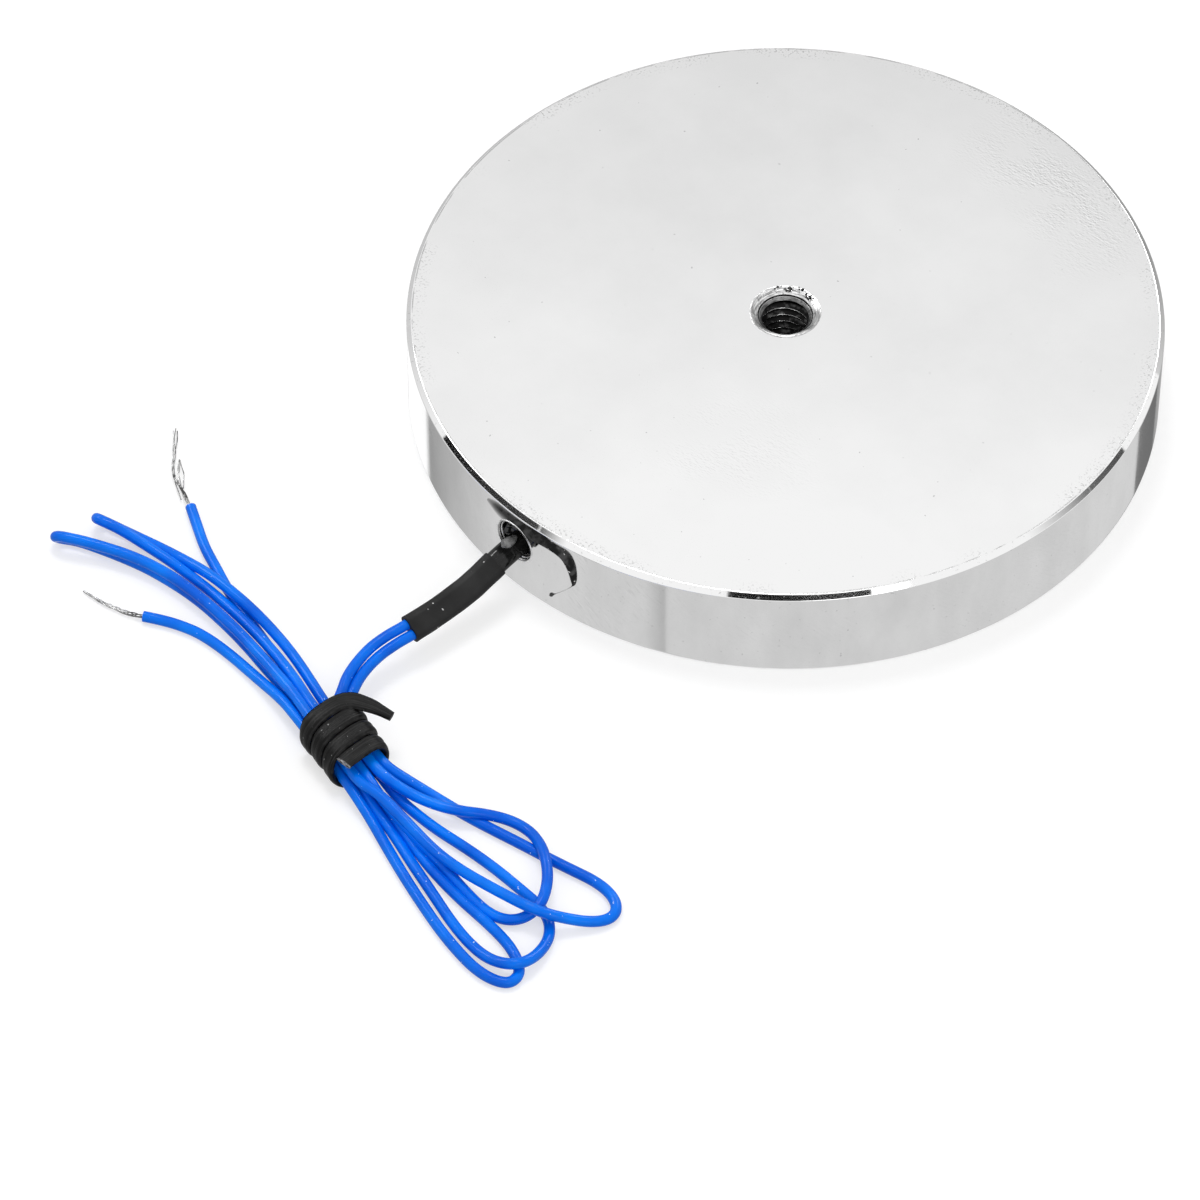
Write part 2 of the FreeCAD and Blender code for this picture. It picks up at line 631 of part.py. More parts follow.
def tie():
    """Flat strip wound round the waist of the hank, with its loose end."""
    body = new_body("wire_tie")
    first_edge = value(f"-{TIE_LENGTH} / 2")
    section = new_sketch(body, "turn_section", "YZ_Plane", hank_frame(first_edge))
    stadium(section, "waist_flat", TIE_OUTSIDE)
    stadium(section, "waist_flat", TIE_BORE)
    turn = padded(body, section, "turn", "tie_strip_width")

    outer = value(TIE_OUTSIDE)
    between = value(f"({TIE_OUTSIDE} + {TIE_BORE}) / 2")
    ahead = hank_point(1, 0, 0) - hank_point(0, 0, 0)
    rims = []
    for number, edge in enumerate(turn.Shape.Edges, start=1):
        ends = [vertex.Point for vertex in edge.Vertexes]
        outside = max(abs(point.z - outer) for point in ends) > between
        if outside and abs((ends[0] - ends[-1]).dot(ahead)) < value("tie_play"):
            rims.append(f"Edge{number}")
    eased = body.newObject("PartDesign::Chamfer", "turn_edges")
    eased.Base = (turn, rims)
    eased.setExpression("Size", bound("tie_strip_chamfer"))
    doc.recompute()
    turns = body.newObject("PartDesign::LinearPattern", "turns")
    turns.TransformMode = "Whole shape"
    turns.Direction = (section, ["N_Axis"])
    turns.setExpression("Length", bound(f"(tie_turns - 1) * {TIE_PITCH}"))
    turns.setExpression("Occurrences", bound("tie_turns"))
    body.Tip = turns
    doc.recompute()

    half = value("tie_strip_width / 2")
    bend = value("tie_tail_bend")
    start = value("tie_tail_start")
    left = first_edge + half
    turn_x = left + bend
    end_x = turn_x + value("tie_tail_length")
    base = hank_point(0, 0, value(f"{TIE_OUTSIDE} + {TIE_BORE}"))
    level = FreeCAD.Placement(base, FreeCAD.Rotation(Vector(0, 0, 1), value("tie_yaw")))
    outline = new_sketch(body, "tail_outline", "XY_Plane", level)
    chain(outline, [
        line((left - half, 0), (left - half, start)),
        arc(turn_x, start, bend + half, math.pi / 2, math.pi),
        line((turn_x, start + bend + half), (end_x, start + bend + half)),
        line((end_x, start + bend + half), (end_x, start + bend - half)),
        line((end_x, start + bend - half), (turn_x, start + bend - half)),
        arc(turn_x, start, bend - half, math.pi / 2, math.pi),
        line((left + half, start), (left + half, 0)),
        line((left + half, 0), (left - half, 0)),
    ], joint="Coincident", backward=(1,))
    padded(body, outline, "tail", "tie_strip_thickness")


pot_shell()
coil()
leads()
exit_pieces()
hank()
free_ends()
tie()
doc.recompute()

for item in doc.Objects:
    if "Invalid" in item.State or "Error" in item.State:
        raise ValueError(f"{item.Label} did not build: {item.State}")
for part in sub_parts:
    if part.Shape.isNull() or not part.Shape.isValid():
        raise ValueError(f"{part.Label} has no valid shape")
os.makedirs("parts", exist_ok=True)
for part in sub_parts:
    print(part.Label, "solids", len(part.Shape.Solids), "volume", round(part.Shape.Volume, 3))
    part.Shape.exportStep(f"parts/{part.Label}.step")
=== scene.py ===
"""Dressed model of a round lifting electromagnet with its tied lead wires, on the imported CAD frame."""

import logging
import math
from collections.abc import Iterable, Sequence
from dataclasses import dataclass
from enum import Enum

import bmesh
import bpy
from mathutils import Matrix, Vector, noise


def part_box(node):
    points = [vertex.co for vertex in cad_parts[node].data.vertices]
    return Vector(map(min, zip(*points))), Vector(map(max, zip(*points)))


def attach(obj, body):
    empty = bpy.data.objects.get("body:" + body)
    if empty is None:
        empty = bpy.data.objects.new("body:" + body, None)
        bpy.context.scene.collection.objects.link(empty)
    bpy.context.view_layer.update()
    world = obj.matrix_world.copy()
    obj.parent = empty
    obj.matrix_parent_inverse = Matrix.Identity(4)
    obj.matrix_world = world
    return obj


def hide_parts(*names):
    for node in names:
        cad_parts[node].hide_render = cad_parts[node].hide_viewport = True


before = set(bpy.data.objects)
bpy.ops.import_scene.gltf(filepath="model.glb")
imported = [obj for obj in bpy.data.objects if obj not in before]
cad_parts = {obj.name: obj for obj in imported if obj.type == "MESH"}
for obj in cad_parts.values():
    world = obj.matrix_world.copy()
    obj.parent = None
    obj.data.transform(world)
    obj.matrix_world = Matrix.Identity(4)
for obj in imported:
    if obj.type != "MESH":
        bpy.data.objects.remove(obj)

LOG = logging.getLogger("lifting_electromagnet")
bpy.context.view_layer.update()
BODY = "root"
MM = 0.001
Point = tuple[float, float, float]
Colour = tuple[float, float, float, float]
Pair = tuple[float, float]
Socket = bpy.types.NodeSocket
Material = bpy.types.Material
Piece = bpy.types.Object
Mesh = bmesh.types.BMesh
Vert = bmesh.types.BMVert


class Slot(Enum):
    """Material slots of the record."""

    STEEL = "plated_steel"
    FORMER = "former_plastic"
    COPPER = "winding_copper"
    TAPE = "winding_tape"
    RESIN = "black_resin"
    INSULATION = "blue_insulation"
    SPLICE = "splice_plastic"
    GLOSS = "gloss_sleeve"
    SHRINK = "heat_shrink"
    GLUE = "grey_glue"
    TINNED = "tinned_copper"
    TIE = "tie_plastic"


class Region(Enum):
    """Surfaces of the pot shell, in the order of its material slots."""

    FACE = 0
    WALL = 1
    EDGE = 2
    SEAT = 3
    BORE = 4
    RIM = 5


def grey(level: float) -> Colour:
    """Gives an opaque grey of one linear level."""
    return (level, level, level, 1.0)


def metres(points: Iterable[Sequence[float]]) -> list[Vector]:
    """Gives points typed in millimetres as vectors in metres."""
    return [Vector(point) * MM for point in points]


class Graph:
    """Writes the shader nodes of one finish round a Principled shader."""

    def __init__(self, name: str) -> None:
        """Starts a material of that name with its object coordinates at hand."""
        self.material = bpy.data.materials.new(name)
        self.material.use_nodes = True
        self.tree = self.material.node_tree
        self.shader = self.tree.nodes["Principled BSDF"]
        self.place = self.tree.nodes.new("ShaderNodeTexCoord").outputs["Object"]

    def feed(self, socket: Socket, value: object) -> None:
        """Links a socket to another node's output, or sets its own value."""
        if isinstance(value, Socket):
            self.tree.links.new(value, socket)
        else:
            socket.default_value = value

    def surface(self, **sockets: object) -> None:
        """Sets sockets of the shader, named with underscores for spaces."""
        for name, value in sockets.items():
            self.feed(self.shader.inputs[name.replace("_", " ")], value)

    def glow(self, tone: object) -> None:
        """Makes the surface show one tone, whatever the light on it."""
        self.surface(Base_Color=grey(0.0), Specular_IOR_Level=0.0, Emission_Color=tone, Emission_Strength=1.0)

    def stretched(self, scale: Point, turn: float = 0.0, shift: float = 0.0) -> Socket:
        """Gives object coordinates turned about the upright axis, stretched, then shifted.

        Args:
            scale: factor along each turned axis.
            turn: angle in degrees.
            shift: move along the second axis.

        Returns:
            The vector socket of the stretched place.
        """
        turned = self.tree.nodes.new("ShaderNodeMapping")
        turned.inputs["Rotation"].default_value = (0.0, 0.0, math.radians(turn))
        self.feed(turned.inputs["Vector"], self.place)
        drawn = self.tree.nodes.new("ShaderNodeMapping")
        drawn.inputs["Scale"].default_value = scale
        drawn.inputs["Location"].default_value = (0.0, shift, 0.0)
        self.feed(drawn.inputs["Vector"], turned.outputs["Vector"])
        return drawn.outputs["Vector"]

    def cloud(self, scale: float, detail: float = 3.0, rough: float = 0.5, place: object = None) -> Socket:
        """Gives a noise value.

        Args:
            scale: repeats to the metre.
            detail: octaves of finer noise.
            rough: weight of the finer octaves.
            place: vector socket, or none for object coordinates.

        Returns:
            The noise's factor socket.
        """
        texture = self.tree.nodes.new("ShaderNodeTexNoise")
        self.feed(texture.inputs["Vector"], self.place if place is None else place)
        texture.inputs["Scale"].default_value = scale
        texture.inputs["Detail"].default_value = detail
        texture.inputs["Roughness"].default_value = rough
        return texture.outputs["Fac"]

    def spread(self, value: object, low: float, high: float, start: float = 0.0, end: float = 1.0) -> Socket:
        """Maps a value's range low to high onto start to end, held at both ends."""
        mapped = self.tree.nodes.new("ShaderNodeMapRange")
        ends = {"From Min": low, "From Max": high, "To Min": start, "To Max": end}
        for name, number in ends.items():
            mapped.inputs[name].default_value = number
        self.feed(mapped.inputs["Value"], value)
        return mapped.outputs["Result"]

    def maths(self, operation: str, first: object, second: object = 0.0) -> Socket:
        """Gives one arithmetic step between two values."""
        step = self.tree.nodes.new("ShaderNodeMath")
        step.operation = operation
        self.feed(step.inputs[0], first)
        self.feed(step.inputs[1], second)
        return step.outputs[0]

    def times(self, first: object, second: object) -> Socket:
        """Multiplies two values."""
        return self.maths("MULTIPLY", first, second)

    def plus(self, first: object, second: object) -> Socket:
        """Adds two values."""
        return self.maths("ADD", first, second)

    def minus(self, first: object, second: object) -> Socket:
        """Takes the second value from the first."""
        return self.maths("SUBTRACT", first, second)

    def leaning(self, x_share: float, y_share: float) -> Socket:
        """Gives the distance along a level direction."""
        x, y, _ = self.parts()
        return self.plus(self.times(x, x_share), self.times(y, y_share))

    def blend(self, factor: object, first: object, second: object) -> Socket:
        """Mixes two colours, or two levels of grey, by a factor."""
        mixed = self.tree.nodes.new("ShaderNodeMix")
        mixed.data_type = "RGBA"
        self.feed(mixed.inputs[0], factor)
        for index, tone in ((6, first), (7, second)):
            self.feed(mixed.inputs[index], grey(tone) if isinstance(tone, float) else tone)
        return mixed.outputs[2]

    def bump(self, height: object, strength: float, depth: float, under: object = None) -> Socket:
        """Gives a normal bent by a height.

        Args:
            height: height socket from 0 to 1.
            strength: share of the bend that is kept.
            depth: height of a full step, in millimetres.
            under: normal socket that this one lies on.

        Returns:
            The bent normal socket.
        """
        bent = self.tree.nodes.new("ShaderNodeBump")
        bent.inputs["Strength"].default_value = strength
        bent.inputs["Distance"].default_value = depth * MM
        self.feed(bent.inputs["Height"], height)
        if under is not None:
            self.feed(bent.inputs["Normal"], under)
        return bent.outputs["Normal"]

    def parts(self) -> tuple[Socket, Socket, Socket]:
        """Gives the three object coordinates apart."""
        split = self.tree.nodes.new("ShaderNodeSeparateXYZ")
        self.feed(split.inputs["Vector"], self.place)
        return split.outputs["X"], split.outputs["Y"], split.outputs["Z"]

    def joined(self, x: object, y: object, z: object) -> Socket:
        """Joins three values into a vector."""
        vector = self.tree.nodes.new("ShaderNodeCombineXYZ")
        for index, value in enumerate((x, y, z)):
            self.feed(vector.inputs[index], value)
        return vector.outputs["Vector"]

    def radius(self) -> Socket:
        """Gives the distance from the upright axis."""
        x, y, _ = self.parts()
        return self.maths("SQRT", self.plus(self.times(x, x), self.times(y, y)))

    def bearing(self) -> Socket:
        """Gives the angle round the upright axis."""
        x, y, _ = self.parts()
        return self.maths("ARCTAN2", y, x)

    def off_bearing(self, middle: float) -> Socket:
        """Gives how far round the axis a place lies from a bearing in degrees."""
        return self.maths("ABSOLUTE", self.minus(self.bearing(), math.radians(middle)))

    def attribute(self, name: str) -> Socket:
        """Gives a number that the piece's own mesh carries."""
        reader = self.tree.nodes.new("ShaderNodeAttribute")
        reader.attribute_name = name
        return reader.outputs["Fac"]


class Finish:
    """A finish that writes its own nodes round one Principled shader."""

    name: str

    def paint(self, graph: Graph) -> None:
        """Writes the nodes of the finish."""
        raise NotImplementedError

    def material(self) -> Material:
        """Builds the material."""
        graph = Graph(self.name)
        self.paint(graph)
        return graph.material


@dataclass(frozen=True)
class PlatedFace(Finish):
    """Bright plating on the flat faces: paler to the front by a painted reflection, wrinkled in patches with
    painted light and shade, and worn along the rim.
    """

    name: str = "plated_face"
    dull: float = 0.715
    bright: float = 0.90
    reach: float = 0.047
    rim: float = 0.0493

    def patch(self, graph: Graph, bearing: float, spread: float, inner: float, outer: float) -> Socket:
        """Gives 1 inside a ragged patch of the face and 0 outside it.

        Args:
            graph: graph that takes the nodes.
            bearing: the patch's middle round the axis, in degrees.
            spread: half of its angle, in degrees.
            inner: its smallest radius, in metres.
            outer: its largest radius, in metres.

        Returns:
            The patch's factor socket.
        """
        half = math.radians(spread)
        turn = graph.spread(graph.off_bearing(bearing), half * 0.4, half, 1.0, 0.0)
        radius = graph.radius()
        begin = graph.spread(radius, inner, inner + 0.008)
        end = graph.spread(radius, outer - 0.004, outer, 1.0, 0.0)
        ragged = graph.spread(graph.cloud(150.0, 4.0, 0.6), 0.36, 0.52)
        return graph.times(graph.times(turn, graph.times(begin, end)), ragged)

    def worn(self, graph: Graph) -> Socket:
        """Gives how far the plating is worn: flecks near the rim and a broken line along it."""
        radius = graph.radius()
        near_rim = graph.spread(radius, self.rim - 0.0022, self.rim - 0.0003, 0.0, 0.75)
        fleck = graph.spread(graph.cloud(3300.0, 2.0), 0.56, 0.66)
        scatter = graph.spread(graph.cloud(80.0, 3.0), 0.44, 0.58)
        flecks = graph.times(graph.times(fleck, scatter), near_rim)
        broken = graph.spread(graph.cloud(260.0, 4.0, 0.6), 0.42, 0.54)
        edge = graph.times(graph.spread(radius, self.rim - 0.00020, self.rim - 0.00012), broken)
        return graph.maths("MAXIMUM", flecks, graph.times(edge, 0.8))

    def paint(self, graph: Graph) -> None:
        """Writes the nodes of the finish."""
        cloud = graph.cloud(38.0, 5.0, 0.58)
        # Painted reflection: the tone grows paler towards the front of the face, over a random cloud.
        front = graph.spread(graph.leaning(0.57, -0.82), -self.reach, self.reach)
        level = graph.plus(front, graph.spread(cloud, 0.32, 0.68, -0.20, 0.20))
        tone = graph.blend(level, self.dull, self.bright)
        shape = (1900.0, 3900.0, 1900.0)
        places = [graph.stretched(shape, turn=-8.0, shift=shift) for shift in (0.0, 0.4)]
        ticks = [graph.cloud(1.0, 2.0, 0.5, place) for place in places]
        # Slope of the wrinkles, which sets their painted shade and painted highlight below.
        painted_wrinkle_shading = graph.minus(*ticks)
        wrinkled = self.patch(graph, bearing=76.0, spread=24.0, inner=0.0345, outer=0.0495)
        rubbed = self.patch(graph, bearing=-60.0, spread=26.0, inner=0.014, outer=0.034)
        patch = graph.maths("MAXIMUM", wrinkled, graph.times(rubbed, 0.28))
        tone = graph.blend(graph.times(wrinkled, 0.14), tone, 0.58)
        # Painted shade on one side of each wrinkle and painted highlight on the other.
        dark = graph.times(graph.spread(painted_wrinkle_shading, 0.04, 0.15), graph.times(patch, 0.62))
        tone = graph.blend(dark, tone, 0.36)
        pale = graph.times(graph.spread(painted_wrinkle_shading, -0.05, -0.15), graph.times(patch, 0.70))
        tone = graph.blend(pale, tone, 1.0)
        worn = self.worn(graph)
        tone = graph.blend(worn, tone, 0.28)
        speck = graph.spread(graph.cloud(1500.0, 1.0), 0.785, 0.80, 0.0, 0.5)
        tone = graph.blend(speck, tone, 0.30)
        rough = graph.plus(graph.spread(cloud, 0.3, 0.7, 0.13, 0.07), graph.times(worn, 0.25))
        normal = graph.bump(graph.cloud(620.0, 3.0), 0.10, 0.012)
        normal = graph.bump(worn, 0.25, -0.02, normal)
        normal = graph.bump(graph.times(ticks[0], patch), 0.2, 0.02, normal)
        graph.surface(Base_Color=tone, Metallic=1.0, Roughness=rough, Normal=normal)


@dataclass(frozen=True)
class PlatedWall(Finish):
    """Mirror plating on the turned side, slowly clouded, with slanting scuffs in patches."""

    name: str = "plated_wall"
    dull: float = 0.77
    bright: float = 0.855
    outer: float = 0.050
    scuffed: float = -74.0

    def paint(self, graph: Graph) -> None:
        """Writes the nodes of the finish."""
        _, _, z = graph.parts()
        turn = graph.bearing()
        slow = graph.cloud(1.0, 4.0, 0.55, graph.joined(graph.times(turn, 9.0), 3.0, graph.times(z, 75.0)))
        tone = graph.blend(graph.spread(slow, 0.34, 0.66), self.dull, self.bright)
        run = graph.times(turn, self.outer)
        along, across = graph.times(graph.plus(run, z), 2300.0), graph.times(graph.minus(run, z), 420.0)
        scuff = graph.cloud(1.0, 3.0, 0.6, graph.joined(along, 0.0, across))
        off = graph.off_bearing(self.scuffed)
        near = graph.spread(off, math.radians(3.0), math.radians(10.0), 0.24, 0.06)
        patch = graph.times(graph.spread(graph.cloud(170.0, 3.0), 0.42, 0.60), near)
        tone = graph.blend(graph.times(graph.spread(scuff, 0.54, 0.66), patch), tone, 0.40)
        tone = graph.blend(graph.times(graph.spread(scuff, 0.46, 0.36), patch), tone, 1.0)
        tone = graph.blend(graph.spread(graph.cloud(1900.0, 2.0), 0.70, 0.76, 0.0, 0.4), tone, 0.35)
        normal = graph.bump(graph.cloud(130.0, 2.0), 0.08, 0.04)
        turned = graph.cloud(1.0, 2.0, 0.5, graph.stretched((30.0, 30.0, 2600.0)))
        normal = graph.bump(turned, 0.04, 0.01, normal)
        rough = graph.spread(slow, 0.3, 0.7, 0.05, 0.10)
        graph.surface(Base_Color=tone, Metallic=1.0, Roughness=rough, Normal=normal)


@dataclass(frozen=True)
class PlatedEdge(Finish):
    """Polished plating on the rim's chamfer, with small nicks."""

    name: str = "plated_edge"
    level: float = 0.90

    def paint(self, graph: Graph) -> None:
        """Writes the nodes of the finish."""
        nick = graph.spread(graph.cloud(2600.0, 2.0), 0.64, 0.74, 0.0, 0.5)
        tone = graph.blend(nick, self.level, 0.40)
        normal = graph.bump(graph.cloud(420.0, 2.0), 0.08, 0.03)
        rough = graph.spread(nick, 0.0, 0.7, 0.05, 0.2)
        graph.surface(Base_Color=tone, Metallic=1.0, Roughness=rough, Normal=normal)


@dataclass(frozen=True)
class PlatedSeat(Finish):
    """Rougher plating in the countersink, with rings left by the tool and dark grains, brighter to the back
    by a painted reflection, with a painted highlight on the near flank and painted shade along its foot.
    """

    name: str = "plated_seat"
    dull: float = 0.52
    level: float = 0.95
    foot: float = 0.0035

    def paint(self, graph: Graph) -> None:
        """Writes the nodes of the finish."""
        radius = graph.radius()
        rings = graph.joined(graph.times(graph.bearing(), 2.2), 0.0, graph.times(radius, 5200.0))
        chatter = graph.cloud(1.0, 3.0, 0.6, rings)
        grain = graph.spread(graph.cloud(1700.0, 3.0, 0.6), 0.56, 0.64, 0.0, 0.7)
        back = graph.leaning(-0.68, 0.73)
        near = graph.spread(back, -0.0042, -0.0024, 1.0, 0.0)
        # Painted reflection: the tone grows brighter towards the back of the countersink.
        shine = graph.blend(graph.spread(back, 0.0, 0.0034), self.dull, self.level)
        tone = graph.blend(graph.spread(chatter, 0.34, 0.60), 0.14, shine)
        # Painted highlight: a pale ring on the near flank.
        lit = graph.spread(radius, self.foot + 0.00085, self.foot + 0.00095, 0.9, 0.25)
        tone = graph.blend(graph.times(near, lit), tone, 1.0)
        tone = graph.blend(grain, tone, 0.10)
        # Painted shade along the foot of the cone.
        root = graph.spread(radius, self.foot - 0.0001, self.foot + 0.00005, 0.75, 0.0)
        tone = graph.blend(root, tone, 0.05)
        normal = graph.bump(graph.cloud(1300.0, 4.0, 0.6), 0.5, 0.05)
        rough = graph.spread(near, 0.0, 1.0, 0.32, 0.85)
        graph.surface(Base_Color=tone, Metallic=1.0, Roughness=rough, Normal=normal)


@dataclass(frozen=True)
class PlatedRim(Finish):
    """Bright burnished plating on the cable hole's rim."""

    name: str = "plated_rim"
    level: float = 0.98

    def paint(self, graph: Graph) -> None:
        """Writes the nodes of the finish."""
        wave = graph.cloud(900.0, 3.0)
        tone = graph.blend(graph.spread(wave, 0.40, 0.56), 0.70, self.level)
        normal = graph.bump(wave, 0.2, 0.02)
        rough = graph.spread(wave, 0.3, 0.7, 0.38, 0.55)
        graph.surface(Base_Color=tone, Metallic=1.0, Roughness=rough, Normal=normal)


@dataclass(frozen=True)
class TappedBore(Finish):
    """Near-black steel, brighter where a tool or a screw has rubbed: painted shade in bores, threads and
    grooves, a painted dark reflection line on the cable hole's rim, and the dark of burnt grains.
    """

    name: str = "tapped_bore"
    dark: float = 0.012
    rubbed: float = 0.10

    def paint(self, graph: Graph) -> None:
        """Writes the nodes of the finish."""
        rub = graph.spread(graph.cloud(900.0, 3.0), 0.50, 0.72)
        # The near-black tone is painted shade wherever this finish lines a recess.
        tone = graph.blend(rub, self.dark, self.rubbed)
        normal = graph.bump(graph.cloud(1600.0, 2.0), 0.3, 0.03)
        rough = graph.spread(rub, 0.0, 1.0, 0.42, 0.22)
        graph.surface(Base_Color=tone, Metallic=1.0, Roughness=rough, Normal=normal)


@dataclass(frozen=True)
class Insulation(Finish):
    """Glossy blue wire insulation with a slow change of shade, drawn lines and a few pale specks."""

    name: str = Slot.INSULATION.value
    deep: Colour = (0.0, 0.112, 0.70, 1.0)
    light: Colour = (0.0, 0.205, 0.94, 1.0)
    speck: Colour = (0.50, 0.70, 1.0, 1.0)
    shine: float = 0.13

    def paint(self, graph: Graph) -> None:
        """Writes the nodes of the finish."""
        shade = graph.cloud(120.0, 3.0)
        tone = graph.blend(graph.spread(shade, 0.36, 0.64), self.deep, self.light)
        speck = graph.spread(graph.cloud(2500.0, 1.0), 0.775, 0.79)
        tone = graph.blend(speck, tone, self.speck)
        ripple = graph.cloud(420.0, 3.0)
        normal = graph.bump(ripple, 0.18, 0.05)
        normal = graph.bump(speck, 0.4, 0.04, normal)
        graph.surface(Base_Color=tone, Roughness=graph.spread(ripple, 0.3, 0.7, 0.12, 0.24), Normal=normal)
        graph.surface(Specular_IOR_Level=self.shine)


@dataclass(frozen=True)
class ShrinkTube(Finish):
    """Matt black shrunk tube with a fine skin, soft ribs along it and specks of lint."""

    name: str = Slot.SHRINK.value
    dark: float = 0.013
    worn: float = 0.026
    shine: float = 0.14

    def paint(self, graph: Graph) -> None:
        """Writes the nodes of the finish."""
        skin = graph.cloud(900.0, 4.0, 0.6)
        rub = graph.spread(graph.cloud(180.0, 3.0), 0.4, 0.68)
        tone = graph.blend(rub, self.dark, self.worn)
        lint = graph.spread(graph.cloud(1500.0, 1.0), 0.755, 0.775)
        tone = graph.blend(lint, tone, 0.5)
        along = graph.cloud(1.0, 2.0, 0.5, graph.stretched((900.0, 60.0, 900.0)))
        normal = graph.bump(skin, 0.25, 0.03)
        normal = graph.bump(along, 0.2, 0.05, normal)
        graph.surface(Base_Color=tone, Roughness=graph.spread(skin, 0.3, 0.7, 0.46, 0.62), Normal=normal)
        graph.surface(Specular_IOR_Level=self.shine)


@dataclass(frozen=True)
class GlossBlack(Finish):
    """Glossy black of the inner sleeve, the sealant and the cast resin."""

    name: str
    dark: float = 0.004
    pale: float = 0.016
    scale: float = 500.0
    depth: float = 0.05
    smooth: float = 0.08
    rough: float = 0.20
    shine: float = 0.55
    drawn: float = 1.0

    def paint(self, graph: Graph) -> None:
        """Writes the nodes of the finish."""
        wave = graph.cloud(self.scale, 3.0, 0.5, graph.stretched((1.0, self.drawn, 1.0)))
        dust = graph.spread(graph.cloud(self.scale * 4.0, 2.0), 0.62, 0.72, 0.0, 0.6)
        tone = graph.blend(graph.spread(wave, 0.35, 0.7), self.dark, self.pale)
        tone = graph.blend(dust, tone, self.pale * 2.4)
        normal = graph.bump(wave, 0.35, self.depth)
        rough = graph.spread(wave, 0.3, 0.7, self.smooth, self.rough)
        graph.surface(Base_Color=tone, Roughness=rough, Normal=normal)
        graph.surface(Specular_IOR_Level=self.shine)


@dataclass(frozen=True)
class GlueSkin(Finish):
    """Set grey glue, milky with darker streaks."""

    name: str = Slot.GLUE.value
    dark: Colour = (0.055, 0.055, 0.055, 1.0)
    pale: Colour = (0.23, 0.23, 0.23, 1.0)

    def paint(self, graph: Graph) -> None:
        """Writes the nodes of the finish."""
        streak = graph.cloud(1400.0, 4.0, 0.6)
        tone = graph.blend(graph.spread(streak, 0.4, 0.62), self.dark, self.pale)
        normal = graph.bump(streak, 0.4, 0.06)
        graph.surface(Base_Color=tone, Roughness=graph.spread(streak, 0.3, 0.7, 0.2, 0.36), Normal=normal)


@dataclass(frozen=True)
class TieSkin(Finish):
    """Matt black tie strip with fine lines along it and paler rubbed edges."""

    name: str = Slot.TIE.value
    dark: float = 0.0015
    worn: float = 0.030
    shine: float = 0.14

    def paint(self, graph: Graph) -> None:
        """Writes the nodes of the finish."""
        along = graph.times(graph.attribute("along"), 130.0)
        across = graph.attribute("across")
        lines = graph.cloud(1.0, 3.0, 0.6, graph.joined(along, graph.times(across, 5200.0), 0.0))
        grit = graph.cloud(1500.0, 3.0, 0.6)
        edge = graph.spread(graph.maths("ABSOLUTE", across), 0.00078, 0.00112, 0.0, 0.5)
        rubbed_edge = graph.times(edge, graph.spread(grit, 0.42, 0.6))
        rub = graph.plus(graph.spread(lines, 0.48, 0.72), rubbed_edge)
        tone = graph.blend(rub, self.dark, self.worn)
        fray = graph.times(graph.attribute("fray"), graph.spread(grit, 0.40, 0.56))
        tone = graph.blend(fray, tone, 0.42)
        speck = graph.spread(graph.cloud(1900.0, 1.0), 0.755, 0.775, 0.0, 0.7)
        tone = graph.blend(speck, tone, 0.35)
        normal = graph.bump(lines, 0.6, 0.08)
        normal = graph.bump(grit, 0.35, 0.05, normal)
        graph.surface(Base_Color=tone, Roughness=graph.spread(lines, 0.3, 0.7, 0.34, 0.52), Normal=normal)
        graph.surface(Specular_IOR_Level=self.shine)


@dataclass(frozen=True)
class TinnedStrand(Finish):
    """Tinned copper strand, grey with brighter and darker lengths."""

    name: str = Slot.TINNED.value
    dark: float = 0.06
    bright: float = 0.50

    def paint(self, graph: Graph) -> None:
        """Writes the nodes of the finish."""
        length = graph.cloud(650.0, 3.0, 0.6)
        tone = graph.blend(graph.spread(length, 0.38, 0.62), self.dark, self.bright)
        normal = graph.bump(graph.cloud(3000.0, 2.0), 0.2, 0.01)
        rough = graph.spread(length, 0.3, 0.7, 0.34, 0.2)
        graph.surface(Base_Color=tone, Metallic=1.0, Roughness=rough, Normal=normal)


@dataclass(frozen=True)
class EnamelledCopper(Finish):
    """Copper winding under enamel, in layers of fine turns, each with painted light on its crest and painted
    shade where it meets the next.
    """

    name: str = Slot.COPPER.value
    dark: Colour = (0.22, 0.060, 0.018, 1.0)
    light: Colour = (0.62, 0.22, 0.070, 1.0)
    turns: float = 1900.0

    def paint(self, graph: Graph) -> None:
        """Writes the nodes of the finish."""
        _, _, z = graph.parts()
        turn = graph.maths("SINE", graph.times(z, self.turns * 2.0 * math.pi))
        patch = graph.cloud(220.0, 3.0)
        # Painted light and shade: each turn lighter along its crest and darker where it meets the next.
        level = graph.plus(graph.spread(turn, -1.0, 1.0, 0.0, 0.6), graph.times(patch, 0.4))
        tone = graph.blend(level, self.dark, self.light)
        normal = graph.bump(graph.spread(turn, -1.0, 1.0), 0.6, 0.1)
        rough = graph.spread(patch, 0.3, 0.7, 0.24, 0.4)
        graph.surface(Base_Color=tone, Metallic=0.85, Roughness=rough, Normal=normal)


@dataclass(frozen=True)
class MouldedPlastic(Finish):
    """Moulded plastic of the coil former and the splices, or woven tape when its grain is fine."""

    name: str
    dark: Colour
    light: Colour
    grain: float = 700.0
    rough: float = 0.5

    def paint(self, graph: Graph) -> None:
        """Writes the nodes of the finish."""
        skin = graph.cloud(self.grain, 3.0, 0.6)
        flow = graph.cloud(self.grain * 0.15, 3.0)
        tone = graph.blend(graph.spread(flow, 0.35, 0.65), self.dark, self.light)
        normal = graph.bump(skin, 0.25, 0.04)
        rough = graph.spread(skin, 0.3, 0.7, self.rough - 0.08, self.rough + 0.08)
        graph.surface(Base_Color=tone, Roughness=rough, Normal=normal)


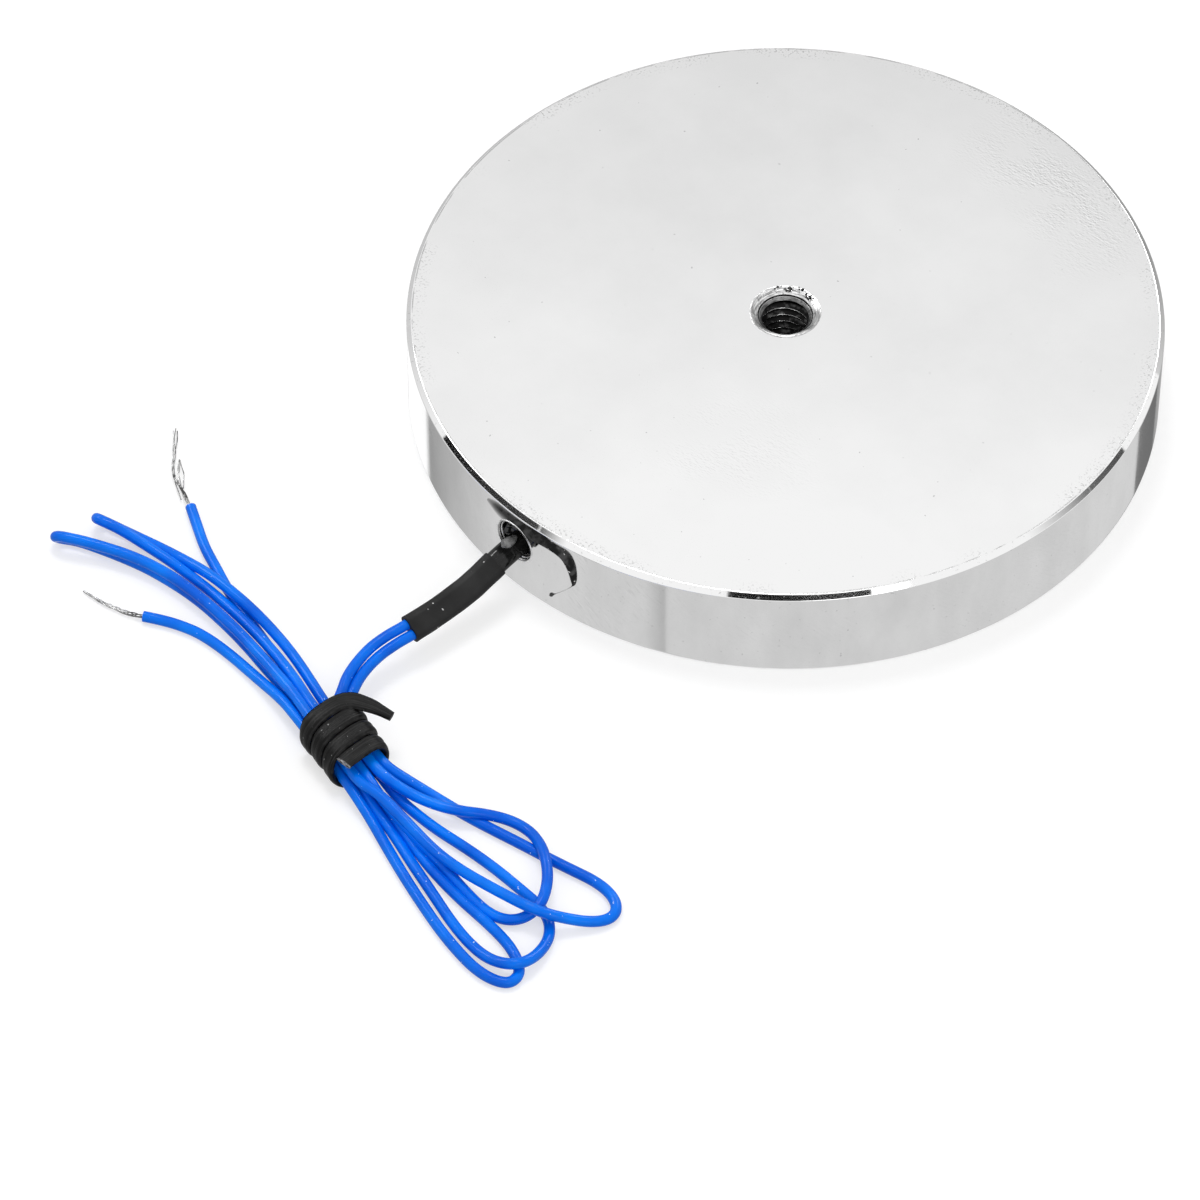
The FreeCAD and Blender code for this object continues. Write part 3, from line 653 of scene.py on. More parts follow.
def lathe(mesh: Mesh, outline: Sequence[Pair], steps: int) -> None:
    """Spins an outline of radius and height, in millimetres, into a closed ring of faces.

    Args:
        mesh: bmesh that takes the faces.
        outline: points from one end of the outline to the other.
        steps: faces round the axis.
    """
    corners = [mesh.verts.new((radius * MM, 0.0, height * MM)) for radius, height in outline]
    edges = [mesh.edges.new(pair) for pair in zip(corners, corners[1:])]
    bmesh.ops.spin(
        mesh, geom=corners + edges, cent=(0, 0, 0), axis=(0, 0, 1), dvec=(0, 0, 0),
        angle=2.0 * math.pi, steps=steps, use_merge=True, use_duplicate=False,
    )
    bmesh.ops.remove_doubles(mesh, verts=mesh.verts, dist=1e-8)
    bmesh.ops.recalc_face_normals(mesh, faces=mesh.faces)


def round_pairs(ring: list[Vert]) -> Iterable[tuple[Vert, Vert]]:
    """Gives each vertex of a closed ring with the next one."""
    return zip(ring, ring[1:] + ring[:1])


def sweep(mesh: Mesh, ring: list[Vert], stations: Sequence[Matrix]) -> list[list[Vert]]:
    """Carries a closed ring through a row of frames by extruding its edges.

    Args:
        mesh: bmesh that holds the ring.
        ring: the ring's vertices in order, placed at the first frame.
        stations: frames along the path.

    Returns:
        The vertices of each station's ring, in the ring's order.
    """
    rings = [ring]
    for before, after in zip(stations, stations[1:]):
        last = rings[-1]
        edges = [mesh.edges.get(pair) for pair in round_pairs(last)]
        grown = bmesh.ops.extrude_edge_only(mesh, edges=edges)["geom"]
        fresh = [item for item in grown if isinstance(item, Vert)]
        by_place = {vert.co.copy().freeze(): vert for vert in fresh}
        ordered = [by_place[vert.co.copy().freeze()] for vert in last]
        bmesh.ops.transform(mesh, matrix=after @ before.inverted(), verts=ordered)
        rings.append(ordered)
    return rings


def face_out(mesh: Mesh, out: float, height: float) -> None:
    """Lays a lathed shape down so that its axis points out to the front, and moves it there.

    Args:
        mesh: bmesh to move.
        out: distance in front of the pot's axis, in millimetres.
        height: height above the floor, in millimetres.
    """
    bmesh.ops.rotate(mesh, verts=mesh.verts, cent=(0, 0, 0), matrix=Matrix.Rotation(math.pi / 2.0, 3, "X"))
    bmesh.ops.translate(mesh, verts=mesh.verts, vec=Vector((0.0, -out, height)) * MM)


def spline_curve(
    name: str, routes: Sequence[Sequence[Vector]], radius: float = 0.0, detail: int = 8, sides: int = 5,
) -> Piece:
    """Makes a curve object of smooth clamped NURBS splines.

    Args:
        name: the object's name.
        routes: control points of each spline, in metres.
        radius: radius of its round section, in metres, or 0 for a bare line.
        detail: steps between control points.
        sides: roundness of the section.

    Returns:
        The linked curve object.
    """
    curve = bpy.data.curves.new(name, "CURVE")
    curve.dimensions = "3D"
    curve.resolution_u = detail
    curve.render_resolution_u = detail
    curve.bevel_depth = radius
    curve.bevel_resolution = sides
    curve.use_fill_caps = radius > 0.0
    for route in routes:
        spline = curve.splines.new("NURBS")
        spline.points.add(len(route) - 1)
        for knot, place in zip(spline.points, route):
            knot.co = (*place, 1.0)
        spline.order_u = 3
        spline.use_endpoint_u = True
        spline.use_smooth = True
    piece = bpy.data.objects.new(name, curve)
    bpy.context.scene.collection.objects.link(piece)
    return piece


def read_line(route: Sequence[Vector], detail: int = 10) -> list[Vector]:
    """Reads the points that Blender gives for a route's bare NURBS line.

    Args:
        route: control points in metres.
        detail: steps between control points.

    Returns:
        Points along the line in order.
    """
    line = spline_curve("line_reader", [route], detail=detail)
    bpy.context.view_layer.update()
    mesh = bpy.data.meshes.new_from_object(line)
    points = [vert.co.copy() for vert in mesh.vertices]
    curve = line.data
    bpy.data.objects.remove(line)
    bpy.data.curves.remove(curve)
    bpy.data.meshes.remove(mesh)
    return points


def headings(points: Sequence[Vector]) -> list[Vector]:
    """Gives the direction of travel at each point of a line."""
    last = len(points) - 1
    return [(points[min(i + 1, last)] - points[max(i - 1, 0)]).normalized() for i in range(last + 1)]


def upright_frame(place: Vector, heading: Vector, side: Vector) -> Matrix:
    """Gives a frame whose z runs along a heading and whose x lies towards a side."""
    across = (side - heading * side.dot(heading)).normalized()
    other = heading.cross(across)
    turn = Matrix((across, other, heading)).transposed().to_4x4()
    return Matrix.Translation(place) @ turn


def roughen(mesh: Mesh, size: float, depth: float, seed: float) -> None:
    """Moves each vertex along its normal by a smooth noise.

    Args:
        mesh: bmesh to move.
        size: length of the noise's waves, in millimetres.
        depth: largest move, in millimetres.
        seed: offset that makes one piece differ from the next.
    """
    mesh.normal_update()
    for vert in mesh.verts:
        wave = noise.noise(vert.co / (size * MM) + Vector((seed, seed * 2.0, seed * 3.0)))
        vert.co += vert.normal * wave * depth * MM


def make_piece(name: str, mesh: Mesh, materials: Sequence[Material], sharp: float = 35.0) -> Piece:
    """Turns a bmesh into a smooth-shaded object.

    Args:
        name: the object's name.
        mesh: finished bmesh, which is freed.
        materials: materials in the order of the faces' indices.
        sharp: angle in degrees above which an edge stays sharp.

    Returns:
        The linked object.
    """
    data = bpy.data.meshes.new(name)
    mesh.to_mesh(data)
    mesh.free()
    data.shade_smooth()
    data.set_sharp_from_angle(angle=math.radians(sharp))
    for material in materials:
        data.materials.append(material)
    piece = bpy.data.objects.new(name, data)
    bpy.context.scene.collection.objects.link(piece)
    return piece


def settle(piece: Piece, slot: Slot, *nodes: str) -> Piece:
    """Lets a piece ride on the body, hides the CAD nodes that it stands for and names them in the log."""
    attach(piece, BODY)
    if nodes:
        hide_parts(*nodes)
    LOG.info("piece %s stands for %s", piece.name, ", ".join(nodes) or "no node")
    return piece


@dataclass
class PotShell:
    """Turned steel pot, sizes in millimetres.

    The bore's lip is the ledge at the countersink's foot, and the roll is the plating round the cable hole.
    """

    outer: float = 50.0
    height: float = 14.0
    chamfer: float = 0.65
    groove_outer: float = 44.0
    groove_inner: float = 22.0
    back: float = 3.0
    thread_root: float = 3.85
    thread_crest: float = 3.20
    thread_pitch: float = 1.25
    thread_bottom: float = 4.48
    thread_top: float = 11.6
    bore_bottom: float = 4.0
    seat: float = 4.7
    seat_foot: float = 3.55
    seat_slope: float = 29.0
    bore_lip: float = 3.12
    bore_lip_height: float = 12.88
    soft_edge: float = 0.05
    cable_height: float = 8.2
    cable_hole: float = 2.75
    cable_rim: float = 0.35
    cable_depth: float = 7.5
    roll_radius: float = 3.16
    roll_width: float = 0.13
    roll_rise: float = 0.09
    steps: int = 512
    cable_steps: int = 96

    def seat_height(self, radius: float) -> float:
        """Gives the height of the countersink's cone at a radius."""
        return self.height - (self.seat - radius) * math.tan(math.radians(self.seat_slope))

    def outline(self) -> list[Pair]:
        """Gives the shell's outline from the bore's bottom over the rim to the core's pole face."""
        top, soft, outer = self.height, self.soft_edge, self.outer
        rim, shoulder, roof = outer - self.chamfer, top - self.chamfer, top - self.back
        root, lip, ledge = self.thread_root, self.bore_lip, self.bore_lip_height
        foot, edge = self.seat_foot, self.seat
        foot_height = self.seat_height(foot)
        bore = [
            (0.0, self.bore_bottom - 1.2), (root - 0.3, self.bore_bottom), (root, self.bore_bottom + 0.3),
            (root, ledge - 0.75), (lip + 0.10, ledge - 0.16), (lip + 0.02, ledge - 0.10), (lip, ledge),
        ]
        seat = [
            (foot - 0.12, foot_height - 0.14), (foot - 0.05, foot_height - 0.10),
            (foot + 0.08, foot_height + 0.02),
            *((radius, self.seat_height(radius)) for radius in (foot + 0.12, edge - 0.12, edge - soft)),
        ]
        across = (edge + soft, edge + 0.12, edge + 1.0, outer * 0.5, rim - 1.5, rim - 0.15, rim - soft)
        back = [(radius, top) for radius in across]
        chamfer = [
            (rim + 0.6 * soft, top - 0.6 * soft), (rim + 0.07, top - 0.07),
            (outer - 0.07, shoulder + 0.07), (outer - 0.6 * soft, shoulder + 0.6 * soft),
        ]
        down = (shoulder - soft, shoulder - 0.15, shoulder - 1.0, 1.2, 0.40, 0.25)
        wall = [(outer, height) for height in down]
        pole = [
            (outer - 0.08, 0.08), (outer - 0.25, 0.0), (self.groove_outer + 0.15, 0.0),
            (self.groove_outer, 0.15), (self.groove_outer, roof), (self.groove_inner, roof),
            (self.groove_inner, 0.15), (self.groove_inner - 0.15, 0.0), (0.0, 0.0),
        ]
        return [*bore, *seat, *back, *chamfer, *wall, *pole]

    def cutter(self) -> Piece:
        """Makes the cable hole's tool, whose flared neck leaves the deburred rim."""
        mesh = bmesh.new()
        bore, rim, deep, out = self.cable_hole, self.cable_rim, self.cable_depth, 2.0
        wide = bore + rim
        lathe(mesh, [
            (0.0, -deep), (bore, -deep), (bore, -rim - 0.30), (bore + 0.03, -rim - 0.18),
            (bore + 0.12, -rim - 0.10), (bore + 0.25, -rim + 0.05), (wide - 0.05, -0.20),
            (wide - 0.01, -0.13), (wide + 0.01, -0.04), (wide + 0.02, 0.1), (wide + out, 0.3), (0.0, out),
        ], self.cable_steps)
        face_out(mesh, self.outer, self.cable_height)
        return make_piece("cable_hole_tool", mesh, [])

    def carve(self, shell: Piece) -> None:
        """Cuts the cable hole through the ring wall."""
        tool = self.cutter()
        cut = shell.modifiers.new("cable_hole", "BOOLEAN")
        cut.operation = "DIFFERENCE"
        cut.solver = "EXACT"
        cut.object = tool
        graph = bpy.context.evaluated_depsgraph_get()
        carved = bpy.data.meshes.new_from_object(shell.evaluated_get(graph))
        shell.modifiers.clear()
        plain, spent = shell.data, tool.data
        shell.data = carved
        bpy.data.objects.remove(tool)
        for data in (plain, spent):
            bpy.data.meshes.remove(data)

    def region(self, corners: Sequence[Vector], normal: Vector) -> Region:
        """Tells which surface a face belongs to.

        Args:
            corners: the face's corners, in millimetres.
            normal: its normal.

        Returns:
            The surface that it is part of.
        """
        middle = sum(corners, Vector()) / len(corners)
        radius = math.hypot(middle.x, middle.y)
        furthest = max(math.hypot(corner.x, corner.z - self.cable_height) for corner in corners)
        from_hole = furthest - self.cable_hole
        if middle.y < 0.0 and radius > self.groove_outer - 0.2 and from_hole < self.cable_rim + 0.35:
            # The hole's mouth and a thin ring in the rim's flare take the near-black bore finish: painted
            # shade in the hole and a painted dark reflection line on the rim.
            dark = from_hole < 0.01 or 0.13 < from_hole < 0.26
            return Region.BORE if dark else Region.RIM
        if radius < self.seat + 0.04 and middle.z > 1.0:
            # The bore and the groove at the countersink's foot take the near-black bore finish, a painted
            # shade of these recesses.
            groove = self.seat_foot - 0.06 < radius < self.seat_foot + 0.10
            on_seat = middle.z > self.bore_lip_height - 0.14 and not groove
            return Region.SEAT if on_seat else Region.BORE
        if radius > self.outer - 0.02:
            return Region.WALL
        if radius > self.outer - self.chamfer - 0.03 and middle.z > 1.0:
            return Region.EDGE
        # The pole face's groove takes the near-black bore finish, a painted shade.
        in_groove = self.groove_inner - 0.01 < radius < self.groove_outer + 0.01
        if in_groove and 0.01 < middle.z < self.height - self.back + 0.01:
            return Region.BORE
        return Region.FACE if abs(normal.z) > 0.9 else Region.EDGE

    def build_shell(self) -> Piece:
        """Builds and dresses the shell."""
        mesh = bmesh.new()
        lathe(mesh, self.outline(), self.steps)
        shell = make_piece("plated_pot", mesh, [])
        self.carve(shell)
        finishes = (PlatedFace(), PlatedWall(), PlatedEdge(), PlatedSeat(), TappedBore(), PlatedRim())
        for finish in finishes:
            shell.data.materials.append(finish.material())
        places = shell.data.vertices
        for face in shell.data.polygons:
            corners = [places[index].co / MM for index in face.vertices]
            face.material_index = self.region(corners, face.normal).value
        shell.data.shade_smooth()
        shell.data.set_sharp_from_angle(angle=math.radians(28.0))
        return settle(shell, Slot.STEEL, "pot_shell")

    def build_roll(self, plating: Material) -> Piece:
        """Builds the rolled lip of plating that stands round the cable hole and follows the curved wall."""
        mesh = bmesh.new()
        turns = [2.0 * math.pi * step / 12.0 for step in range(13)]
        lathe(mesh, [
            (self.roll_radius + self.roll_width * math.cos(turn), self.roll_rise * math.sin(turn))
            for turn in turns
        ], self.cable_steps)
        face_out(mesh, 0.0, self.cable_height)
        for vert in mesh.verts:
            vert.co.y -= math.sqrt((self.outer * MM) ** 2 - vert.co.x ** 2)
        roughen(mesh, size=0.8, depth=0.03, seed=5.0)
        return settle(make_piece("cable_hole_lip", mesh, [plating], sharp=80.0), Slot.STEEL)

    def build_thread(self, bore: Material, rubbed: Material) -> Piece:
        """Builds the thread's ridge as one helical wall inside the bore, with near-black flanks in painted
        shade and a rubbed crest.
        """
        mesh = bmesh.new()
        low, root, crest = self.thread_bottom, self.thread_root + 0.03, self.thread_crest
        section = [
            (root, -0.52), (crest + 0.03, -0.10), (crest, -0.05),
            (crest, 0.05), (crest + 0.03, 0.10), (root, 0.52),
        ]
        corners = [mesh.verts.new((radius * MM, 0.0, (low + rise) * MM)) for radius, rise in section]
        edges = [mesh.edges.new(pair) for pair in round_pairs(corners)]
        turns = (self.thread_top - low) / self.thread_pitch
        steps = int(turns * 90)
        climb = self.thread_pitch * turns / steps * MM
        bmesh.ops.spin(
            mesh, geom=corners + edges, cent=(0, 0, 0), axis=(0, 0, 1), dvec=(0, 0, climb),
            angle=2.0 * math.pi * turns, steps=steps, use_merge=False, use_duplicate=False,
        )
        rims = [edge for edge in mesh.edges if edge.is_boundary]
        bmesh.ops.holes_fill(mesh, edges=rims, sides=len(section))
        bmesh.ops.recalc_face_normals(mesh, faces=mesh.faces)
        for face in mesh.faces:
            middle = face.calc_center_median()
            # Flanks take the near-black bore finish, a painted shade; the crest takes the bright edge
            # plating.
            face.material_index = int(math.hypot(middle.x, middle.y) < (crest + 0.02) * MM)
        return settle(make_piece("thread_ridge", mesh, [bore, rubbed]), Slot.STEEL)

    def add_grain(self, mesh: Mesh, angle: float, radius: float, number: int) -> None:
        """Adds one grain of plating on the countersink, every third one bright.

        Args:
            mesh: bmesh that takes the grain.
            angle: its place round the axis, in radians.
            radius: its distance from the axis, in millimetres.
            number: its number in the clump, which sets its size and turn.
        """
        height = self.seat_height(radius) + 0.04
        spot = Vector((radius * math.cos(angle), radius * math.sin(angle), height)) * MM
        size = (0.12 + 0.05 * math.sin(number * 1.9)) * MM
        turned = Matrix.Translation(spot) @ Matrix.Rotation(angle * 3.0 + number, 4, "X")
        shape = turned @ Matrix.Diagonal((1.0, 1.5, 0.8, 1.0))
        grown = bmesh.ops.create_icosphere(mesh, subdivisions=2, radius=size, matrix=shape)
        for face in {face for vert in grown["verts"] for face in vert.link_faces}:
            face.material_index = int(number % 3 == 2)

    def build_grains(self, dark: Material, bright: Material) -> Piece:
        """Builds the burnt grains of plating left on the far side of the countersink."""
        mesh = bmesh.new()
        clumps = ((127.5, 4.30, 8.0, 24), (86.0, 4.28, 9.0, 24), (108.0, 4.50, 7.0, 4), (150.0, 4.45, 6.0, 3))
        depth, step = 0.34, 2.4
        for bearing, radius, spread, count in clumps:
            for number in range(count):
                share, turn = math.sqrt((number + 0.5) / count), step * number
                angle = math.radians(bearing + spread * share * math.cos(turn))
                self.add_grain(mesh, angle, radius + depth * share * math.sin(turn), number)
        roughen(mesh, size=0.16, depth=0.06, seed=4.0)
        return settle(make_piece("plating_grains", mesh, [dark, bright]), Slot.STEEL)

    def build(self) -> Piece:
        """Builds every piece of the shell."""
        shell = self.build_shell()
        wanted = (Region.BORE, Region.EDGE, Region.RIM)
        bore, edge, rim = (shell.data.materials[part.value] for part in wanted)
        self.build_roll(rim)
        self.build_thread(bore, edge)
        self.build_grains(bore, edge)
        return shell


@dataclass
class LeadPair:
    """Routes of the two lead wires, sizes in millimetres; wire -1 is the upper one."""

    wire: float = 0.725
    lying: float = 0.73
    offset: float = 0.75
    roll: float = 32.0
    hole_height: float = 8.2
    pair_height: float = 7.2
    wall: float = 50.0
    tie_side: float = 5.2
    tie_front: float = -85.9
    tie_yaw: float = -13.0
    touch: float = 39.05
    touch_bearing: float = 27.7

    def beside(self, hand: int, side: float, y: float, z: float) -> Point:
        """Gives one wire's place beside the pair's middle line."""
        angle = math.radians(self.roll)
        return (side + hand * self.offset * math.cos(angle), y, z - hand * self.offset * math.sin(angle))

    def inside(self, hand: int, along: float) -> Point:
        """Gives a place on the line along which a wire leaves its splice."""
        angle = math.radians(self.touch_bearing)
        out = self.touch * math.sin(angle) - along * math.cos(angle)
        depth = self.touch * math.cos(angle) + along * math.sin(angle)
        return (hand * out, -depth, self.beside(hand, 0.0, 0.0, self.pair_height)[2])

    def in_tie(self, across: float, height: float, *along: float) -> list[Point]:
        """Gives places in the tie's grip: across it, above the floor and along its axis."""
        angle = math.radians(self.tie_yaw)
        return [(
            self.tie_side + run * math.cos(angle) - across * math.sin(angle),
            self.tie_front + run * math.sin(angle) + across * math.cos(angle), height,
        ) for run in along]

    def exit_line(self, hand: int) -> list[Point]:
        """Gives a wire's points from its splice to the sleeve's mouth."""
        high = self.pair_height
        middle = (
            (0.0, -44.6, high), (0.0, -51.0, high), (0.0, -57.5, 5.45),
            (-0.25, -62.5, 4.95), (-0.7, -68.0, 4.8),
        )
        splice = [self.inside(hand, along) for along in (16.0, 18.0)]
        return splice + [self.beside(hand, *spot) for spot in middle]

    def upper_route(self) -> list[Point]:
        """Gives the upper wire's points: lead, wide loop, short fold, front loop and lower tail."""
        low = self.lying
        return [
            *self.exit_line(-1),
            (-1.95, -70.9, 5.0), (-2.15, -74.2, 4.7), (-1.15, -78.6, 4.35), (0.55, -81.4, 4.0),
            *self.in_tie(1.15, 3.7, -4.0, 0.0, 4.0, 8.0),
            (17.1, -85.7, 2.6), (20.6, -84.5, 2.2), (23.9, -82.8, 2.15), (26.35, -80.35, 1.55),
            (28.9, -78.55, 0.95), (32.05, -78.15, 1.05), (35.65, -79.65, 2.25), (38.65, -81.7, 2.3),
            (40.8, -84.15, 2.25), (41.9, -86.6, 2.0), (41.3, -88.7, 1.2), (39.7, -90.2, 0.8),
            (37.3, -90.9, low), (34.0, -90.7, low), (30.0, -90.1, 0.8), (26.0, -89.5, 1.1),
            (20.8, -89.3, 2.1), (15.6, -88.6, 2.5),
            *self.in_tie(-0.35, 3.25, 8.0, 4.0, 0.0, -4.0, -7.0),
            (-7.3, -82.6, 2.3), (-13.4, -81.2, 1.95), (-19.5, -80.3, 1.6), (-26.0, -79.6, 0.9),
            (-30.0, -79.6, 0.75), (-34.0, -79.8, 0.85), (-37.6, -80.5, 1.4), (-39.7, -81.1, 2.0),
            (-41.5, -81.75, 2.6), (-43.0, -82.35, 2.9), (-44.2, -82.7, 2.95), (-45.1, -82.45, 2.3),
            (-45.25, -81.75, 1.35), (-44.5, -81.1, low), (-43.3, -80.8, low), (-41.8, -80.45, low),
            (-39.6, -79.9, low), (-36.0, -79.0, low), (-32.0, -78.3, 0.9), (-27.6, -78.2, 1.8),
            (-23.1, -78.4, 2.2), (-19.1, -78.6, 2.2), (-15.2, -79.0, 2.0), (-11.5, -79.5, 1.6),
            (-7.3, -80.6, 1.6),
            *self.in_tie(1.75, 1.85, -7.0, -4.0), *self.in_tie(1.0, 1.4, 0.0),
            *self.in_tie(0.3, 1.7, 4.0, 7.0),
            (15.2, -88.1, 1.1), (20.0, -89.3, low), (25.0, -90.6, low), (28.0, -91.2, low),
            (33.0, -91.8, low), (38.0, -92.0, low), (42.0, -92.4, low), (44.4, -93.1, low),
            (46.1, -94.0, low), (47.1, -95.1, low), (47.15, -96.6, low), (46.0, -97.5, low),
            (44.0, -98.05, low), (41.2, -98.1, low), (36.0, -97.25, low), (31.0, -95.9, low),
            (26.0, -94.4, low), (21.0, -92.7, low), (16.0, -91.0, 1.1),
            *self.in_tie(-2.55, 2.15, 7.0, 4.0, 0.0, -4.0, -7.0),
            (-5.5, -86.1, 2.0), (-10.5, -85.4, 0.95), (-17.0, -85.0, low), (-21.6, -85.3, low),
            (-24.6, -86.2, low), (-27.2, -87.4, low), (-29.2, -88.6, low),
        ]

    def lower_route(self) -> list[Point]:
        """Gives the lower wire's points: lead, long loop, long fold, broad loop and upper tail."""
        low = self.lying
        return [
            *self.exit_line(1),
            (-0.5, -70.6, 4.35), (-0.75, -74.0, 4.05), (-0.05, -77.6, 3.85), (1.3, -80.3, 3.65),
            *self.in_tie(2.6, 3.1, -4.0, 0.0, 4.0, 7.0),
            (15.6, -83.8, 1.8), (20.0, -82.6, 0.8), (24.0, -82.0, low), (28.0, -81.2, low),
            (32.0, -80.3, low), (36.0, -79.5, low), (39.5, -78.7, low), (43.2, -77.8, low),
            (46.0, -77.85, low), (47.9, -78.7, low), (48.7, -80.1, 0.75), (48.4, -81.6, 0.85),
            (47.3, -83.3, 1.2), (45.6, -85.2, 2.0), (43.9, -86.9, 2.9), (41.6, -88.1, 3.4),
            (36.1, -88.8, 2.7), (30.9, -89.4, 2.25), (26.5, -89.7, 2.4), (21.3, -89.5, 3.4),
            (15.6, -88.9, 3.7),
            *self.in_tie(-1.75, 3.65, 8.0, 4.0, 0.0, -4.0),
            (-4.6, -84.9, 3.1), (-11.0, -83.5, 2.4), (-17.1, -82.5, 2.2), (-23.1, -82.0, 2.2),
            (-29.1, -82.0, 2.2), (-33.1, -82.5, 2.2), (-37.0, -83.6, 2.3), (-40.5, -85.2, 2.5),
            (-43.1, -86.7, 2.8), (-44.5, -87.6, 2.9), (-45.55, -88.25, 2.95), (-46.45, -88.4, 2.3),
            (-46.85, -87.85, 1.35), (-46.4, -87.0, low), (-45.4, -86.3, low), (-44.0, -85.6, low),
            (-41.2, -84.55, low), (-38.0, -83.5, low), (-34.0, -82.45, low), (-27.0, -81.6, low),
            (-20.0, -82.0, low), (-15.0, -82.7, low), (-12.0, -83.3, low), (-7.6, -84.1, 1.0),
            *self.in_tie(-1.15, 1.75, -7.0, -4.0, 0.0, 4.0, 7.0),
            (15.3, -89.6, 1.2), (20.0, -90.6, low), (25.0, -92.2, low), (30.0, -93.6, low),
            (35.0, -95.1, low), (39.0, -95.9, low), (42.4, -96.1, 1.0), (45.3, -95.7, 2.0),
            (46.9, -94.1, 2.2), (46.7, -91.3, 1.3), (45.6, -88.3, low), (43.6, -86.3, low),
            (41.0, -85.5, low), (38.0, -85.4, low), (33.0, -85.3, low), (28.0, -85.6, low),
            (23.0, -86.2, low), (18.0, -86.3, 0.8), (15.2, -86.2, 1.3),
            *self.in_tie(1.75, 1.85, 7.0, 4.0), *self.in_tie(1.0, 2.5, 0.0),
            *self.in_tie(0.3, 1.7, -4.0, -7.0),
            (-7.4, -82.3, 0.9), (-13.0, -80.9, low), (-18.0, -79.6, low), (-22.0, -78.7, low),
            (-25.6, -77.5, low), (-29.0, -76.2, low), (-32.5, -74.9, low), (-36.0, -73.0, low),
            (-38.9, -71.45, low),
        ]

    def build(self, ends: Sequence[Piece]) -> list[Piece]:
        """Builds both wires as cords.

        Args:
            ends: the bared ends, of the upper wire and then of the lower one; not used.

        Returns:
            The two curve objects.
        """
        skin = Insulation().material()
        pieces = []
        plans = (
            ("upper_lead", self.upper_route(), 0.3599, ("lead_wire_1", "wire_hank", "free_end_1"), ends[0]),
            ("lower_lead", self.lower_route(), 0.3863, ("lead_wire_2", "free_end_2"), ends[1]),
        )
        for name, route, length, nodes, end in plans:
            cord = spline_curve(name, [metres(route)], self.wire * MM, detail=8, sides=6)
            cord.data.materials.append(skin)
            settle(cord, Slot.INSULATION, *nodes)
            pieces.append(cord)
        return pieces


